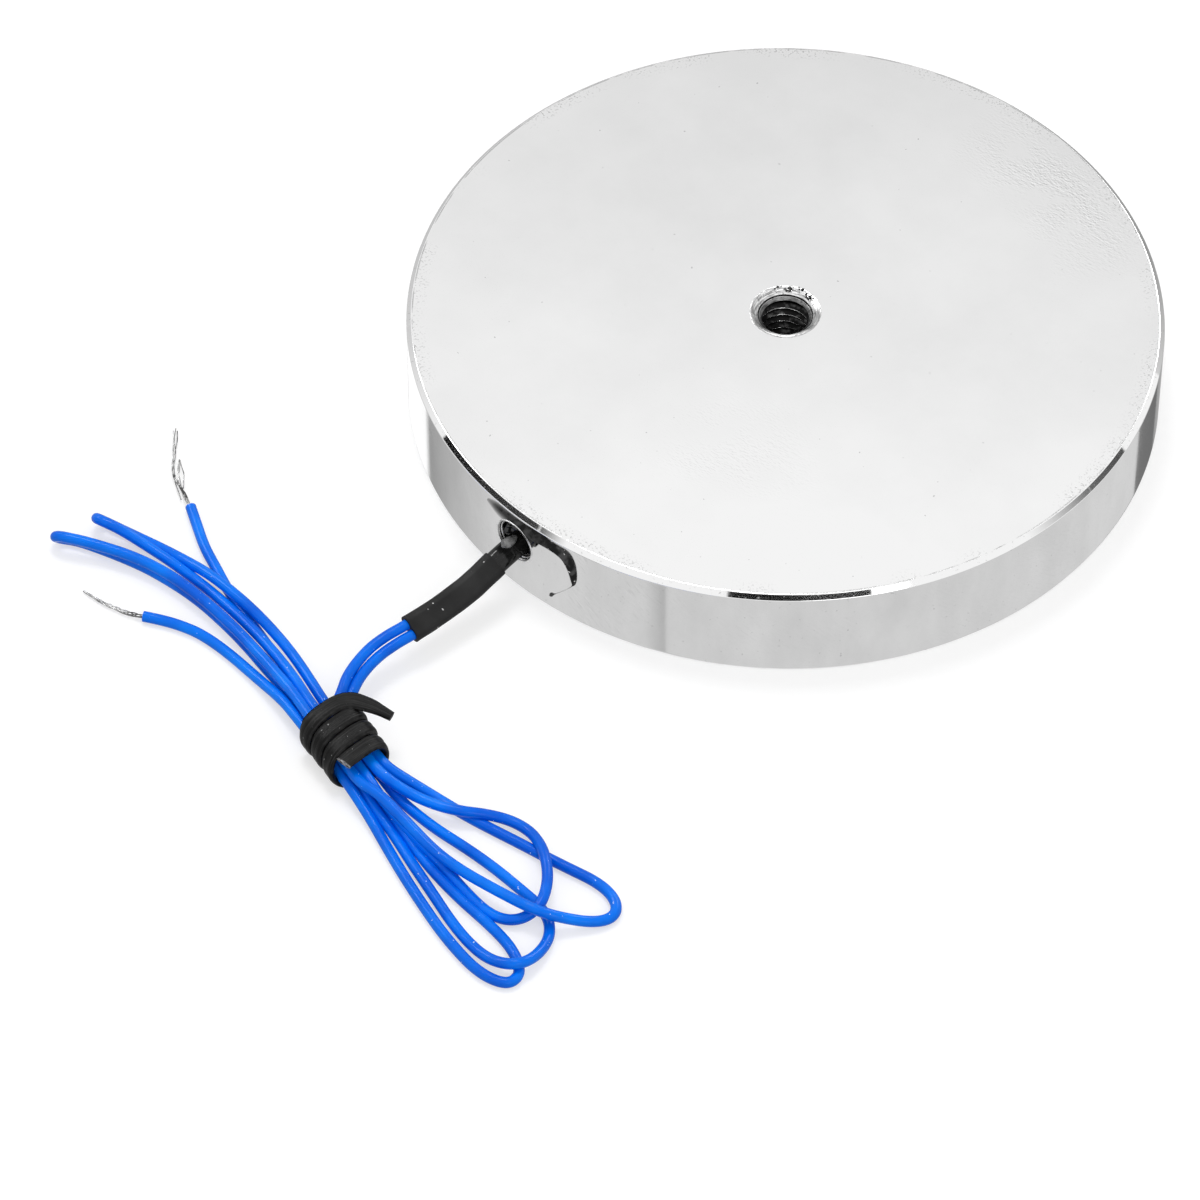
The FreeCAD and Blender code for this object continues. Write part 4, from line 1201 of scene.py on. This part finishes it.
@dataclass
class CableExit:
    """Sealant, glue and the two nested sleeves where the leads leave the wall, sizes in millimetres."""

    leads: LeadPair
    wall: float = 50.0
    hole: float = 2.75
    hole_height: float = 8.2
    inner_skin: float = 0.875
    inner_wall: float = 0.11
    outer_skin: float = 1.085
    outer_wall: float = 0.18
    inner_start: float = -2.0
    inner_end: float = 4.5
    outer_start: float = 3.2
    outer_end: float = 18.1
    sides: int = 48

    def middle(self) -> list[Vector]:
        """Reads the middle line between the two leads out to past the sleeve's mouth."""
        upper, lower = metres(self.leads.upper_route()[1:10]), metres(self.leads.lower_route()[1:10])
        return read_line([(a + b) / 2.0 for a, b in zip(upper, lower)], 24)

    def stations(self, start: float, end: float) -> list[Matrix]:
        """Gives frames along the middle line between two distances out from the wall."""
        line = self.middle()
        angle = math.radians(self.leads.roll)
        side = Vector((math.cos(angle), 0.0, -math.sin(angle)))
        frames = [upright_frame(place, heading, side) for place, heading in zip(line, headings(line))]
        return [spot for spot in frames if start <= -spot.translation.y / MM - self.wall <= end]

    def oval(self, mesh: Mesh, place: Matrix, radius: float) -> list[Vert]:
        """Draws the oval that a tube takes round two wires side by side.

        Args:
            mesh: bmesh that takes the oval.
            place: its frame, with the wires apart along x.
            radius: radius of its rounded ends.

        Returns:
            The oval's vertices in order.
        """
        circle = bmesh.ops.create_circle(mesh, cap_ends=False, segments=self.sides, radius=radius * MM)
        ring, apart = circle["verts"], self.leads.offset * MM
        for vert in ring:
            vert.co.x += math.copysign(apart, vert.co.x) if abs(vert.co.x) > 1e-7 else 0.0
            vert.co.y *= 1.0 - 0.07 * max(0.0, 1.0 - abs(vert.co.x) / apart)
        bmesh.ops.transform(mesh, matrix=place, verts=ring)
        return ring

    def tube(self, start: float, end: float, skin: float, wall: float, flare: float) -> Mesh:
        """Builds one sleeve as a closed tube with an inside.

        Args:
            start: distance of its first rim out from the wall.
            end: distance of its mouth.
            skin: outer radius round each wire.
            wall: thickness of the tube.
            flare: share by which the mouth is wider than the rest.

        Returns:
            The finished bmesh.
        """
        mesh = bmesh.new()
        frames = self.stations(start, end)
        sized = []
        for index, spot in enumerate(frames):
            grow = 1.0 + flare * (index / (len(frames) - 1)) ** 8
            sized.append(spot @ Matrix.Diagonal((grow, grow, 1.0, 1.0)))
        outside = sweep(mesh, self.oval(mesh, sized[0], skin), sized)
        inside = sweep(mesh, self.oval(mesh, sized[0], skin - wall), sized)
        for near, far in ((outside[0], inside[0]), (outside[-1], inside[-1])):
            rims = [mesh.edges.get(pair) for ring in (near, far) for pair in round_pairs(ring)]
            bmesh.ops.bridge_loops(mesh, edges=rims)
        bmesh.ops.recalc_face_normals(mesh, faces=mesh.faces)
        return mesh

    def build_sleeves(self) -> None:
        """Builds the glossy inner sleeve and the shrunk outer one."""
        inner = self.tube(self.inner_start, self.inner_end, self.inner_skin, self.inner_wall, flare=0.0)
        gloss = GlossBlack(
            Slot.GLOSS.value, depth=0.30, scale=800.0, smooth=0.04, rough=0.12, shine=0.30, drawn=0.06,
        )
        sleeve = make_piece("gloss_sleeve", inner, [gloss.material()], sharp=60.0)
        settle(sleeve, Slot.GLOSS, "inner_sleeve")
        outer = self.tube(self.outer_start, self.outer_end, self.outer_skin, self.outer_wall, flare=0.04)
        roughen(outer, size=2.2, depth=0.05, seed=7.0)
        sleeve = make_piece("shrunk_sleeve", outer, [ShrinkTube().material()], sharp=60.0)
        settle(sleeve, Slot.SHRINK, "outer_sleeve")

    def build_sealant(self) -> Piece:
        """Builds the lumpy black plug of sealant behind the hole's rim."""
        mesh = bmesh.new()
        edge = self.hole + 0.02
        lathe(mesh, [
            (0.0, -3.2), (edge, -3.2), (edge, -1.0), (2.55, -0.85), (2.2, -0.9), (1.8, -1.25), (1.3, -1.4),
            (0.0, -1.5),
        ], 64)
        bmesh.ops.subdivide_edges(mesh, edges=mesh.edges, cuts=1, use_grid_fill=True)
        face_out(mesh, self.wall, self.hole_height)
        for vert in mesh.verts:
            if vert.co.y < -(self.wall - 1.9) * MM:
                vert.co.y -= noise.noise(vert.co / (1.1 * MM)) * 0.55 * MM
        bmesh.ops.recalc_face_normals(mesh, faces=mesh.faces)
        gloss = GlossBlack(
            "cable_sealant", dark=0.002, pale=0.008, smooth=0.05, rough=0.12, depth=0.12, scale=900.0,
        )
        plug = make_piece("sealant_plug", mesh, [gloss.material()], sharp=80.0)
        return settle(plug, Slot.RESIN, "cable_sealant")

    def build_drop(self) -> Piece:
        """Builds the grey drop of glue that lies over the sleeve at the hole."""
        low, high = (Vector(corner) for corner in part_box("glue_drop"))
        mesh = bmesh.new()
        shape = Matrix.Translation((low + high) / 2.0) @ Matrix.Diagonal((*(high - low) / 2.0, 1.0))
        bmesh.ops.create_icosphere(mesh, subdivisions=4, radius=1.0, matrix=shape)
        roughen(mesh, size=0.7, depth=0.16, seed=2.0)
        bead = make_piece("glue_bead", mesh, [GlueSkin().material()], sharp=80.0)
        return settle(bead, Slot.GLUE, "glue_drop")

    def build(self) -> None:
        """Builds every piece of the exit."""
        self.build_sleeves()
        self.build_sealant()
        self.build_drop()


@dataclass
class StrandGroup:
    """One twisted group of strands along a line typed in millimetres."""

    line: Sequence[Point]
    strands: int
    lay: float
    turns: float
    fan: float = 0.0

    def routes(self) -> list[list[Vector]]:
        """Gives each strand's points round the group's line."""
        points = read_line(metres(self.line), 6)
        ways = headings(points)
        last = len(points) - 1
        strands = []
        for strand in range(self.strands):
            route = []
            for index, (place, heading) in enumerate(zip(points, ways)):
                share = index / last
                side = upright_frame(place, heading, Vector((0.0, 0.0, 1.0))).to_3x3()
                turn = 2.0 * math.pi * (strand / self.strands + self.turns * share)
                spread = (self.lay + self.fan * max(0.0, share - 0.75) * 4.0) * MM
                route.append(place + (side.col[0] * math.cos(turn) + side.col[1] * math.sin(turn)) * spread)
            strands.append(route)
        return strands


@dataclass
class BaredEnds:
    """Stripped, twisted and tinned ends of both wires, sizes in millimetres."""

    strand: float = 0.07

    def lower_groups(self) -> list[StrandGroup]:
        """Gives the strands of the lower tail's end."""
        core = [
            (-28.6, -88.3, 0.73), (-29.6, -88.85, 0.7), (-31.4, -89.65, 0.55), (-33.3, -90.2, 0.45),
            (-35.4, -90.75, 0.4), (-38.2, -90.95, 0.3),
        ]
        stray = [
            (-28.7, -88.45, 0.6), (-30.3, -89.5, 0.4), (-32.0, -90.1, 0.3), (-34.2, -90.4, 0.35),
            (-36.6, -90.85, 0.3),
        ]
        return [
            StrandGroup(core, strands=4, lay=0.21, turns=1.7, fan=-0.12),
            StrandGroup(stray, strands=1, lay=0.05, turns=0.6),
        ]

    def upper_groups(self) -> list[StrandGroup]:
        """Gives the strands of the upper tail's end: a long group, a short one beside it, and strays."""
        long = [
            (-38.8, -71.5, 0.73), (-40.2, -70.9, 0.7), (-41.8, -70.2, 0.7), (-43.2, -69.85, 0.75),
            (-44.8, -69.2, 0.75), (-46.0, -68.1, 0.65), (-47.4, -66.6, 0.5), (-49.0, -65.0, 0.42),
            (-50.6, -63.5, 0.4),
        ]
        short = [
            (-38.9, -71.6, 0.8), (-40.4, -71.0, 0.8), (-42.3, -70.1, 0.9), (-43.5, -69.35, 1.1),
            (-44.7, -68.3, 1.1), (-46.0, -66.9, 0.8),
        ]
        bow = [
            (-41.9, -70.0, 0.8), (-42.7, -69.3, 1.0), (-43.4, -68.5, 1.2), (-44.6, -67.8, 1.1),
            (-45.6, -67.1, 0.9),
        ]
        stray = [(-40.95, -71.3, 0.35), (-42.0, -70.8, 0.5), (-43.2, -70.2, 0.6), (-44.3, -69.5, 0.65)]
        return [
            StrandGroup(long, strands=3, lay=0.15, turns=1.7, fan=0.16),
            StrandGroup(short, strands=2, lay=0.13, turns=1.4, fan=-0.05),
            StrandGroup(bow, strands=1, lay=0.05, turns=0.6),
            StrandGroup(stray, strands=1, lay=0.05, turns=0.5),
        ]

    def build(self) -> list[Piece]:
        """Builds both ends, of the upper wire and then of the lower one."""
        tinned = TinnedStrand().material()
        pieces = []
        plans = (
            ("front_bare_end", self.lower_groups(), "bare_end_1"),
            ("back_bare_end", self.upper_groups(), "bare_end_2"),
        )
        for name, groups, node in plans:
            routes = [route for group in groups for route in group.routes()]
            piece = spline_curve(name, routes, self.strand * MM, detail=3, sides=2)
            piece.data.materials.append(tinned)
            pieces.append(settle(piece, Slot.TINNED, node))
        return pieces


@dataclass
class WireTie:
    """Flat strip wound a little over three turns round the hank, with a free tail, sizes in millimetres."""

    leads: LeadPair
    width: float = 2.55
    thickness: float = 0.9
    flat: float = 1.35
    last_flat: float = 1.1
    middle_radius: float = 2.8
    last_radius: float = 2.62
    axis_height: float = 3.31
    last_height: float = 3.16
    pitch: float = 2.6
    sag: float = 1.1
    sag_turn: float = 2.62
    slant: float = 0.5
    first_run: float = -3.0
    turns: float = 3.156
    tail: Sequence[Point] = ((8.8, -80.2, 5.7), (7.3, -80.65, 6.0), (5.6, -81.2, 6.15))
    tail_share: float = 0.5
    tail_out: Point = (0.0, -0.25, 1.0)
    start_angle: float = 67.5
    corners: int = 8
    wobble: float = 0.06
    sag_reach: float = 0.34
    detail: int = 6

    def spot(self, turn: float, lift: float = 0.0) -> Point:
        """Gives a control point on the winding.

        Args:
            turn: turns from the top right of the first one.
            lift: how far outside the usual path it lies.

        Returns:
            The point in millimetres.
        """
        share = turn / self.turns
        flat = self.flat + (self.last_flat - self.flat) * share
        radius = self.middle_radius + (self.last_radius - self.middle_radius) * share
        height = self.axis_height + (self.last_height - self.axis_height) * share
        angle = math.radians(self.start_angle) + 2.0 * math.pi * turn
        reach = (radius + lift) / math.cos(math.pi / self.corners)
        side, up = reach * math.cos(angle), reach * math.sin(angle)
        across = side + math.copysign(flat, side)
        run = self.first_run + self.pitch * turn - self.slant * across / (flat + radius)
        run += self.sag * max(0.0, 1.0 - abs(turn - self.sag_turn) / self.sag_reach)
        return self.leads.in_tie(across, height + up, run)[0]

    def route(self) -> list[Vector]:
        """Gives the strip's control points from the tail's tip to the cut end on top."""
        steps = range(int(self.turns * self.corners) + 1)
        wound = [self.spot(step / self.corners, self.wobble * math.sin(step * 1.7)) for step in steps]
        return metres([*self.tail, *wound, self.spot(self.turns, 0.05)])

    def outward(self, place: Vector) -> Vector:
        """Gives the direction away from the hank at a place on the strip."""
        angle = math.radians(self.leads.tie_yaw)
        side = Vector((-math.sin(angle), math.cos(angle), 0.0))
        centre = Vector((self.leads.tie_side, self.leads.tie_front, self.axis_height)) * MM
        gap = place - centre
        across = gap.dot(side)
        nearest = max(-self.flat * MM, min(self.flat * MM, across))
        return side * (across - nearest) + Vector((0.0, 0.0, gap.z))

    def section(self, mesh: Mesh, place: Matrix) -> list[Vert]:
        """Draws the strip's section: a rounded bar with a shallow furrow on each broad side."""
        half, thick = self.width / 2.0, self.thickness / 2.0
        left = [
            (-half, -thick * 0.3), (-half + 0.03, thick * 0.05), (-half + 0.13, thick * 0.42),
            (-half + 0.30, thick * 0.74), (-half * 0.50, thick * 0.97), (-half * 0.24, thick),
            (-half * 0.10, thick * 0.93),
        ]
        upper = left + [(-x, y) for x, y in reversed(left)]
        lower = [(x, -y) for x, y in reversed(upper[1:-1])]
        ring = [mesh.verts.new(place @ Vector((x * MM, y * MM, 0.0))) for x, y in upper + lower]
        for pair in round_pairs(ring):
            mesh.edges.new(pair)
        return ring

    def build(self) -> Piece:
        """Sweeps the strip along its route and dresses it."""
        points = read_line(self.route(), self.detail)
        ways = headings(points)
        stations = []
        winding = self.detail * (len(self.tail) + 1)
        for index, (place, heading) in enumerate(zip(points, ways)):
            out = self.outward(place) if index > winding else Vector(self.tail_out)
            side = heading.cross(out.normalized())
            narrow = self.tail_share + (1.0 - self.tail_share) * min(1.0, index / (0.6 * winding))
            stations.append(upright_frame(place, heading, side) @ Matrix.Diagonal((narrow, 1.0, 1.0, 1.0)))
        mesh = bmesh.new()
        layers = mesh.verts.layers.float
        along, across, fray = (layers.new(name) for name in ("along", "across", "fray"))
        rings = sweep(mesh, self.section(mesh, stations[0]), stations)
        travelled = 0.0
        for index, (ring, spot) in enumerate(zip(rings, stations)):
            if index:
                travelled += (spot.translation - stations[index - 1].translation).length
            inward = spot.inverted()
            for vert in ring:
                vert[along] = travelled
                vert[across] = (inward @ vert.co).x
                vert[fray] = float(index == len(rings) - 1)
        for end in (rings[0], rings[-1]):
            mesh.faces.new(end)
        bmesh.ops.recalc_face_normals(mesh, faces=mesh.faces)
        roughen(mesh, size=1.6, depth=0.05, seed=3.0)
        return settle(make_piece("tie_strip", mesh, [TieSkin().material()], sharp=50.0), Slot.TIE, "wire_tie")


@dataclass
class HiddenCoil:
    """Finishes of the CAD nodes inside the pot: coil, resin ring, tails and splices."""

    def finishes(self) -> dict[str, Material]:
        """Gives each inner node's material."""
        copper = EnamelledCopper().material()
        sleeved = MouldedPlastic(Slot.SPLICE.value, grey(0.025), grey(0.055), grain=500.0, rough=0.4)
        splice = sleeved.material()
        tape = MouldedPlastic(
            Slot.TAPE.value, dark=(0.76, 0.56, 0.09, 1.0), light=(0.88, 0.69, 0.15, 1.0),
            grain=1600.0, rough=0.38,
        )
        resin = GlossBlack(
            Slot.RESIN.value, dark=0.006, pale=0.020, scale=160.0, depth=0.05, smooth=0.16, rough=0.34,
        )
        return {
            "coil_former": MouldedPlastic(Slot.FORMER.value, grey(0.035), grey(0.065)).material(),
            "coil_winding": copper,
            "coil_tape": tape.material(),
            "potting_resin": resin.material(),
            "winding_start_tail": copper,
            "winding_finish_tail": copper,
            "splice_1": splice,
            "splice_2": splice,
        }

    def dress(self) -> None:
        """Puts each material on its node."""
        for name, material in self.finishes().items():
            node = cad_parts[name]
            if not node.material_slots:
                node.data.materials.append(material)
            for place in node.material_slots:
                place.material = material
            LOG.info("node %s dressed with %s", name, material.name)


@dataclass
class Studio:
    """Floor, soft lamps, the camera, and boards and rods that only mirrors see, places in metres."""

    camera_place: Point = (0.42970, -0.45758, 0.68091)
    camera_right: Point = (0.7028, 0.7114, -0.0014)
    camera_up: Point = (-0.5373, 0.5322, 0.6543)
    camera_ahead: Point = (-0.4662, 0.4591, -0.7562)
    lens: float = 208.12
    sky_on_object: float = 0.78
    floor_half: float = 6.0
    floor_drop: float = 0.00002
    floor_tone: float = 0.50
    floor_glow: float = 0.54
    under: float = 0.735
    under_half: float = 40.0
    under_drop: float = 1.7
    board_reach: float = 1.4
    board_steps: int = 16
    rim_radius: float = 0.049675
    rim_height: float = 0.013675
    rod_gap: float = 0.300
    rod_radius: float = 0.008
    rod_steps: int = 8

    def build_camera(self) -> None:
        """Sets the camera at the photograph's place."""
        data = bpy.data.cameras.new("photo_camera")
        data.lens = self.lens
        data.sensor_width = 36.0
        data.clip_start = 0.01
        data.clip_end = 50.0
        camera = bpy.data.objects.new("photo_camera", data)
        ahead = Vector(self.camera_ahead)
        turn = Matrix((Vector(self.camera_right), Vector(self.camera_up), -ahead)).transposed().to_4x4()
        camera.matrix_world = Matrix.Translation(self.camera_place) @ turn
        bpy.context.scene.collection.objects.link(camera)
        bpy.context.scene.camera = camera

    def seen(self, tree: bpy.types.NodeTree) -> Socket:
        """Gives 1 for rays from the camera, a mirror or glass, and 0 for the light on the object."""
        path = tree.nodes.new("ShaderNodeLightPath")
        total = path.outputs["Is Camera Ray"]
        for name in ("Is Glossy Ray", "Is Transmission Ray"):
            more = tree.nodes.new("ShaderNodeMath")
            more.operation = "MAXIMUM"
            tree.links.new(total, more.inputs[0])
            tree.links.new(path.outputs[name], more.inputs[1])
            total = more.outputs[0]
        return total

    def build_sky(self) -> None:
        """Makes the white surround, dimmer where it only lights the object."""
        world = bpy.data.worlds.new("white_surround")
        world.use_nodes = True
        tree = world.node_tree
        glow = tree.nodes["Background"]
        glow.inputs["Color"].default_value = grey(1.0)
        level = tree.nodes.new("ShaderNodeMapRange")
        level.inputs["To Min"].default_value = self.sky_on_object
        level.inputs["To Max"].default_value = 1.0
        tree.links.new(self.seen(tree), level.inputs["Value"])
        tree.links.new(level.outputs["Result"], glow.inputs["Strength"])
        bpy.context.scene.world = world

    def build_floor(self) -> None:
        """Makes the floor, white to the eye and still holding a soft shadow."""
        mesh = bmesh.new()
        place = Matrix.Translation((0.0, 0.0, -self.floor_drop))
        bmesh.ops.create_grid(mesh, x_segments=4, y_segments=4, size=self.floor_half, matrix=place)
        graph = Graph("pale_floor")
        lit = graph.times(self.seen(graph.tree), self.floor_glow)
        graph.surface(Base_Color=grey(self.floor_tone), Roughness=1.0, Specular_IOR_Level=0.0)
        graph.surface(Emission_Color=grey(1.0), Emission_Strength=lit)
        floor = make_piece("floor", mesh, [graph.material])
        floor.visible_glossy = False

    def build_lamp(self, name: str, place: Point, size: float, power: float) -> None:
        """Makes one soft lamp that looks at the object."""
        data = bpy.data.lights.new(name, "AREA")
        data.shape = "DISK"
        data.size = size
        data.energy = power
        lamp = bpy.data.objects.new(name, data)
        aim = (Vector((0.0, -0.03, 0.0)) - Vector(place)).to_track_quat("-Z", "Y")
        lamp.matrix_world = Matrix.Translation(place) @ aim.to_matrix().to_4x4()
        bpy.context.scene.collection.objects.link(lamp)

    def mirror_only(self, board: Piece) -> None:
        """Stages a piece that only reflections show."""
        board.visible_camera = False
        board.visible_diffuse = False
        board.visible_transmission = False
        board.visible_shadow = False

    def build_shade(
        self, name: str, route: Sequence[Point], radii: Sequence[float], level: float, soft: bool,
    ) -> None:
        """Makes a thin dark cord close to the wall, which mirrors it beside the cable hole.

        Args:
            name: the cord's name.
            route: its points in millimetres.
            radii: its radius at each point, in millimetres.
            level: grey that it shows.
            soft: whether its edges fade into the grey that the wall mirrors; a cord that is not soft carries
                painted glints.
        """
        cord = spline_curve(name, [metres(route)], MM, detail=6, sides=4)
        for knot, radius in zip(cord.data.splines[0].points, radii):
            knot.radius = radius
        graph = Graph(name)
        patch = graph.spread(graph.cloud(700.0, 3.0), 0.45, 0.62)
        tone = graph.blend(patch, level, level * 4.0)
        if soft:
            edge = graph.tree.nodes.new("ShaderNodeLayerWeight").outputs["Facing"]
            tone = graph.blend(graph.spread(edge, 0.15, 0.85), tone, self.under)
        else:
            # Painted glints: pale specks on the hard cord.
            tone = graph.blend(graph.spread(graph.cloud(1300.0, 1.0), 0.70, 0.74), tone, 0.9)
        graph.glow(tone)
        cord.data.materials.append(graph.material)
        self.mirror_only(cord)

    def build_rod(self, name: str, bearings: Pair, levels: Pair) -> None:
        """Makes a dark rod that the rim's chamfer mirrors to the camera between two bearings.

        Args:
            name: the rod's name.
            bearings: angles in degrees round the rim where its image begins and ends.
            levels: greys that it shows at the first end and at the last.
        """
        route = []
        for step in range(self.rod_steps + 1):
            turn = math.radians(bearings[0] + (bearings[1] - bearings[0]) * step / self.rod_steps)
            out = Vector((math.cos(turn), math.sin(turn), 0.0))
            rim = out * self.rim_radius + Vector((0.0, 0.0, self.rim_height))
            slope = (out + Vector((0.0, 0.0, 1.0))).normalized()
            sight = (Vector(self.camera_place) - rim).normalized()
            route.append(rim + (slope * (2.0 * slope.dot(sight)) - sight) * self.rod_gap)
        rod = spline_curve(name, [route], self.rod_radius, detail=6, sides=4)
        graph = Graph(name)
        ends = [math.atan2(spot.y, spot.x) for spot in (route[0], route[-1])]
        graph.glow(graph.blend(graph.spread(graph.bearing(), *ends), *levels))
        rod.data.materials.append(graph.material)
        self.mirror_only(rod)

    def build_under(self) -> None:
        """Makes the grey that upright mirrors see below the horizon in place of the floor."""
        mesh = bmesh.new()
        place = Matrix.Translation((0.0, 0.0, -self.under_drop))
        bmesh.ops.create_grid(mesh, x_segments=2, y_segments=2, size=self.under_half, matrix=place)
        graph = Graph("under_board")
        graph.glow(grey(self.under))
        self.mirror_only(make_piece("under_board", mesh, [graph.material]))

    def build_board(self, name: str, bearings: Pair, heights: Point, levels: Pair) -> None:
        """Makes a curved board round the object that only reflections show.

        Args:
            name: the board's name.
            bearings: angles in degrees of its first side and of its last.
            heights: elevations in degrees of its lower and upper edge at the first side,
                and of its lower edge at the last.
            levels: greys that it shows at the first side and at the last.
        """
        mesh = bmesh.new()
        share = mesh.verts.layers.float.new("share")
        reach, steps = self.board_reach, self.board_steps
        first, turn = math.radians(bearings[0]), math.radians(bearings[1] - bearings[0])
        low, high, last_low = (math.radians(elevation) for elevation in heights)
        corners = []
        for tilt in (low, high):
            out, up = reach * math.cos(tilt), reach * math.sin(tilt)
            corners.append(mesh.verts.new((out * math.cos(first), out * math.sin(first), up)))
        edge = mesh.edges.new(corners)
        rise = reach * (math.sin(last_low) - math.sin(low)) / steps
        bmesh.ops.spin(
            mesh, geom=[*corners, edge], cent=(0, 0, 0), axis=(0, 0, 1), dvec=(0, 0, rise),
            angle=turn, steps=steps, use_merge=False, use_duplicate=False,
        )
        for vert in mesh.verts:
            gone = (math.atan2(vert.co.y, vert.co.x) - first + 0.01) % (2.0 * math.pi)
            vert[share] = (gone - 0.01) / turn
        graph = Graph(name)
        graph.glow(graph.blend(graph.attribute("share"), *levels))
        self.mirror_only(make_piece(name, mesh, [graph.material]))

    def build_rods(self) -> None:
        """Makes the rods whose images are the dark strips along the chamfer, from left to right."""
        for name, bearings, levels in (
            ("rim_left", (-108.4, -85.2), (0.004, 0.05)),
            ("rim_fade", (-84.8, -80.0), (0.09, 1.0)),
            ("rim_front", (-54.1, -32.8), (0.01, 0.01)),
            ("rim_dim", (-7.0, 6.4), (1.0, 0.16)),
            ("rim_right", (6.6, 16.1), (0.14, 0.07)),
        ):
            self.build_rod(name, bearings, levels)

    def build_boards(self) -> None:
        """Makes the bright strips for the wires, the greys of the far rim and those of the wall."""
        far, below = (-42.0, 6.0, -42.0), (-66.0, -44.0, -66.0)
        for name, bearings, heights, levels in (
            ("left_strip", (176.0, 204.0), (36.0, 54.0, 36.0), (9.0, 9.0)),
            ("right_strip", (92.0, 114.0), (30.0, 46.0, 30.0), (9.0, 9.0)),
            ("back_right", (74.0, 100.0), far, (0.66, 0.32)),
            ("back_left", (100.0, 186.0), far, (0.32, 0.68)),
            ("left_rise", (186.0, 213.0), (-8.0, 8.0, 2.0), (0.66, 0.98)),
            ("left_glow", (146.0, 175.0), below, (1.15, 1.15)),
            ("left_shade", (177.0, 216.0), below, (0.36, 0.70)),
            ("front_seam", (-87.0, -80.4), below, (0.74, 0.49)),
            ("right_shade", (91.0, 111.0), below, (0.20, 0.17)),
            ("right_edge", (111.0, 124.0), below, (0.34, 0.48)),
        ):
            self.build_board(name, bearings, heights, levels)

    def build_shades(self) -> None:
        """Makes the two dark cords whose images lie to the right and to the left of the cable hole."""
        right = [
            (-0.5, -50.7, 10.9), (1.0, -50.8, 11.0), (2.9, -50.7, 10.9), (4.6, -50.6, 11.0),
            (5.9, -50.5, 10.9), (7.1, -50.3, 10.9), (8.3, -50.2, 10.6), (9.1, -50.1, 9.3),
            (9.5, -50.0, 7.6), (9.6, -50.0, 6.0), (9.4, -50.0, 5.4), (8.7, -50.1, 4.4),
            (7.6, -50.3, 3.1), (6.4, -50.4, 1.8), (5.9, -50.5, 1.4), (5.8, -50.5, 1.2),
        ]
        right_radii = (
            0.40, 0.66, 0.74, 0.65, 0.59, 0.61, 0.75, 0.72, 0.56, 0.36, 0.05, 0.015, 0.015, 0.03, 0.33, 0.26,
        )
        left = [
            (-6.6, -50.8, 9.9), (-5.7, -50.9, 10.1), (-4.2, -51.1, 10.1), (-2.2, -51.3, 10.0),
            (-0.5, -51.4, 9.9), (1.0, -51.4, 9.8),
        ]
        self.build_shade("right_cord", right, right_radii, 0.018, False)
        self.build_shade("left_cord", left, (0.27, 0.50, 0.82, 1.00, 1.04, 0.90), 0.012, True)

    def build(self) -> None:
        """Builds the studio."""
        bpy.context.scene.view_settings.view_transform = "Standard"
        self.build_camera()
        self.build_sky()
        self.build_floor()
        self.build_under()
        self.build_lamp("overhead_lamp", (-0.25, 0.10, 0.95), size=0.30, power=2.6)
        self.build_lamp("front_lamp", (1.35, -0.65, 1.15), size=0.8, power=4.0)
        self.build_rods()
        self.build_boards()
        self.build_shades()


def main() -> None:
    """Builds the part and its studio."""
    logging.basicConfig(level=logging.INFO, format="%(name)s: %(message)s")
    leads = LeadPair()
    PotShell().build()
    CableExit(leads).build()
    leads.build(BaredEnds().build())
    WireTie(leads).build()
    HiddenCoil().dress()
    Studio().build()


if __name__ == "__main__":
    main()
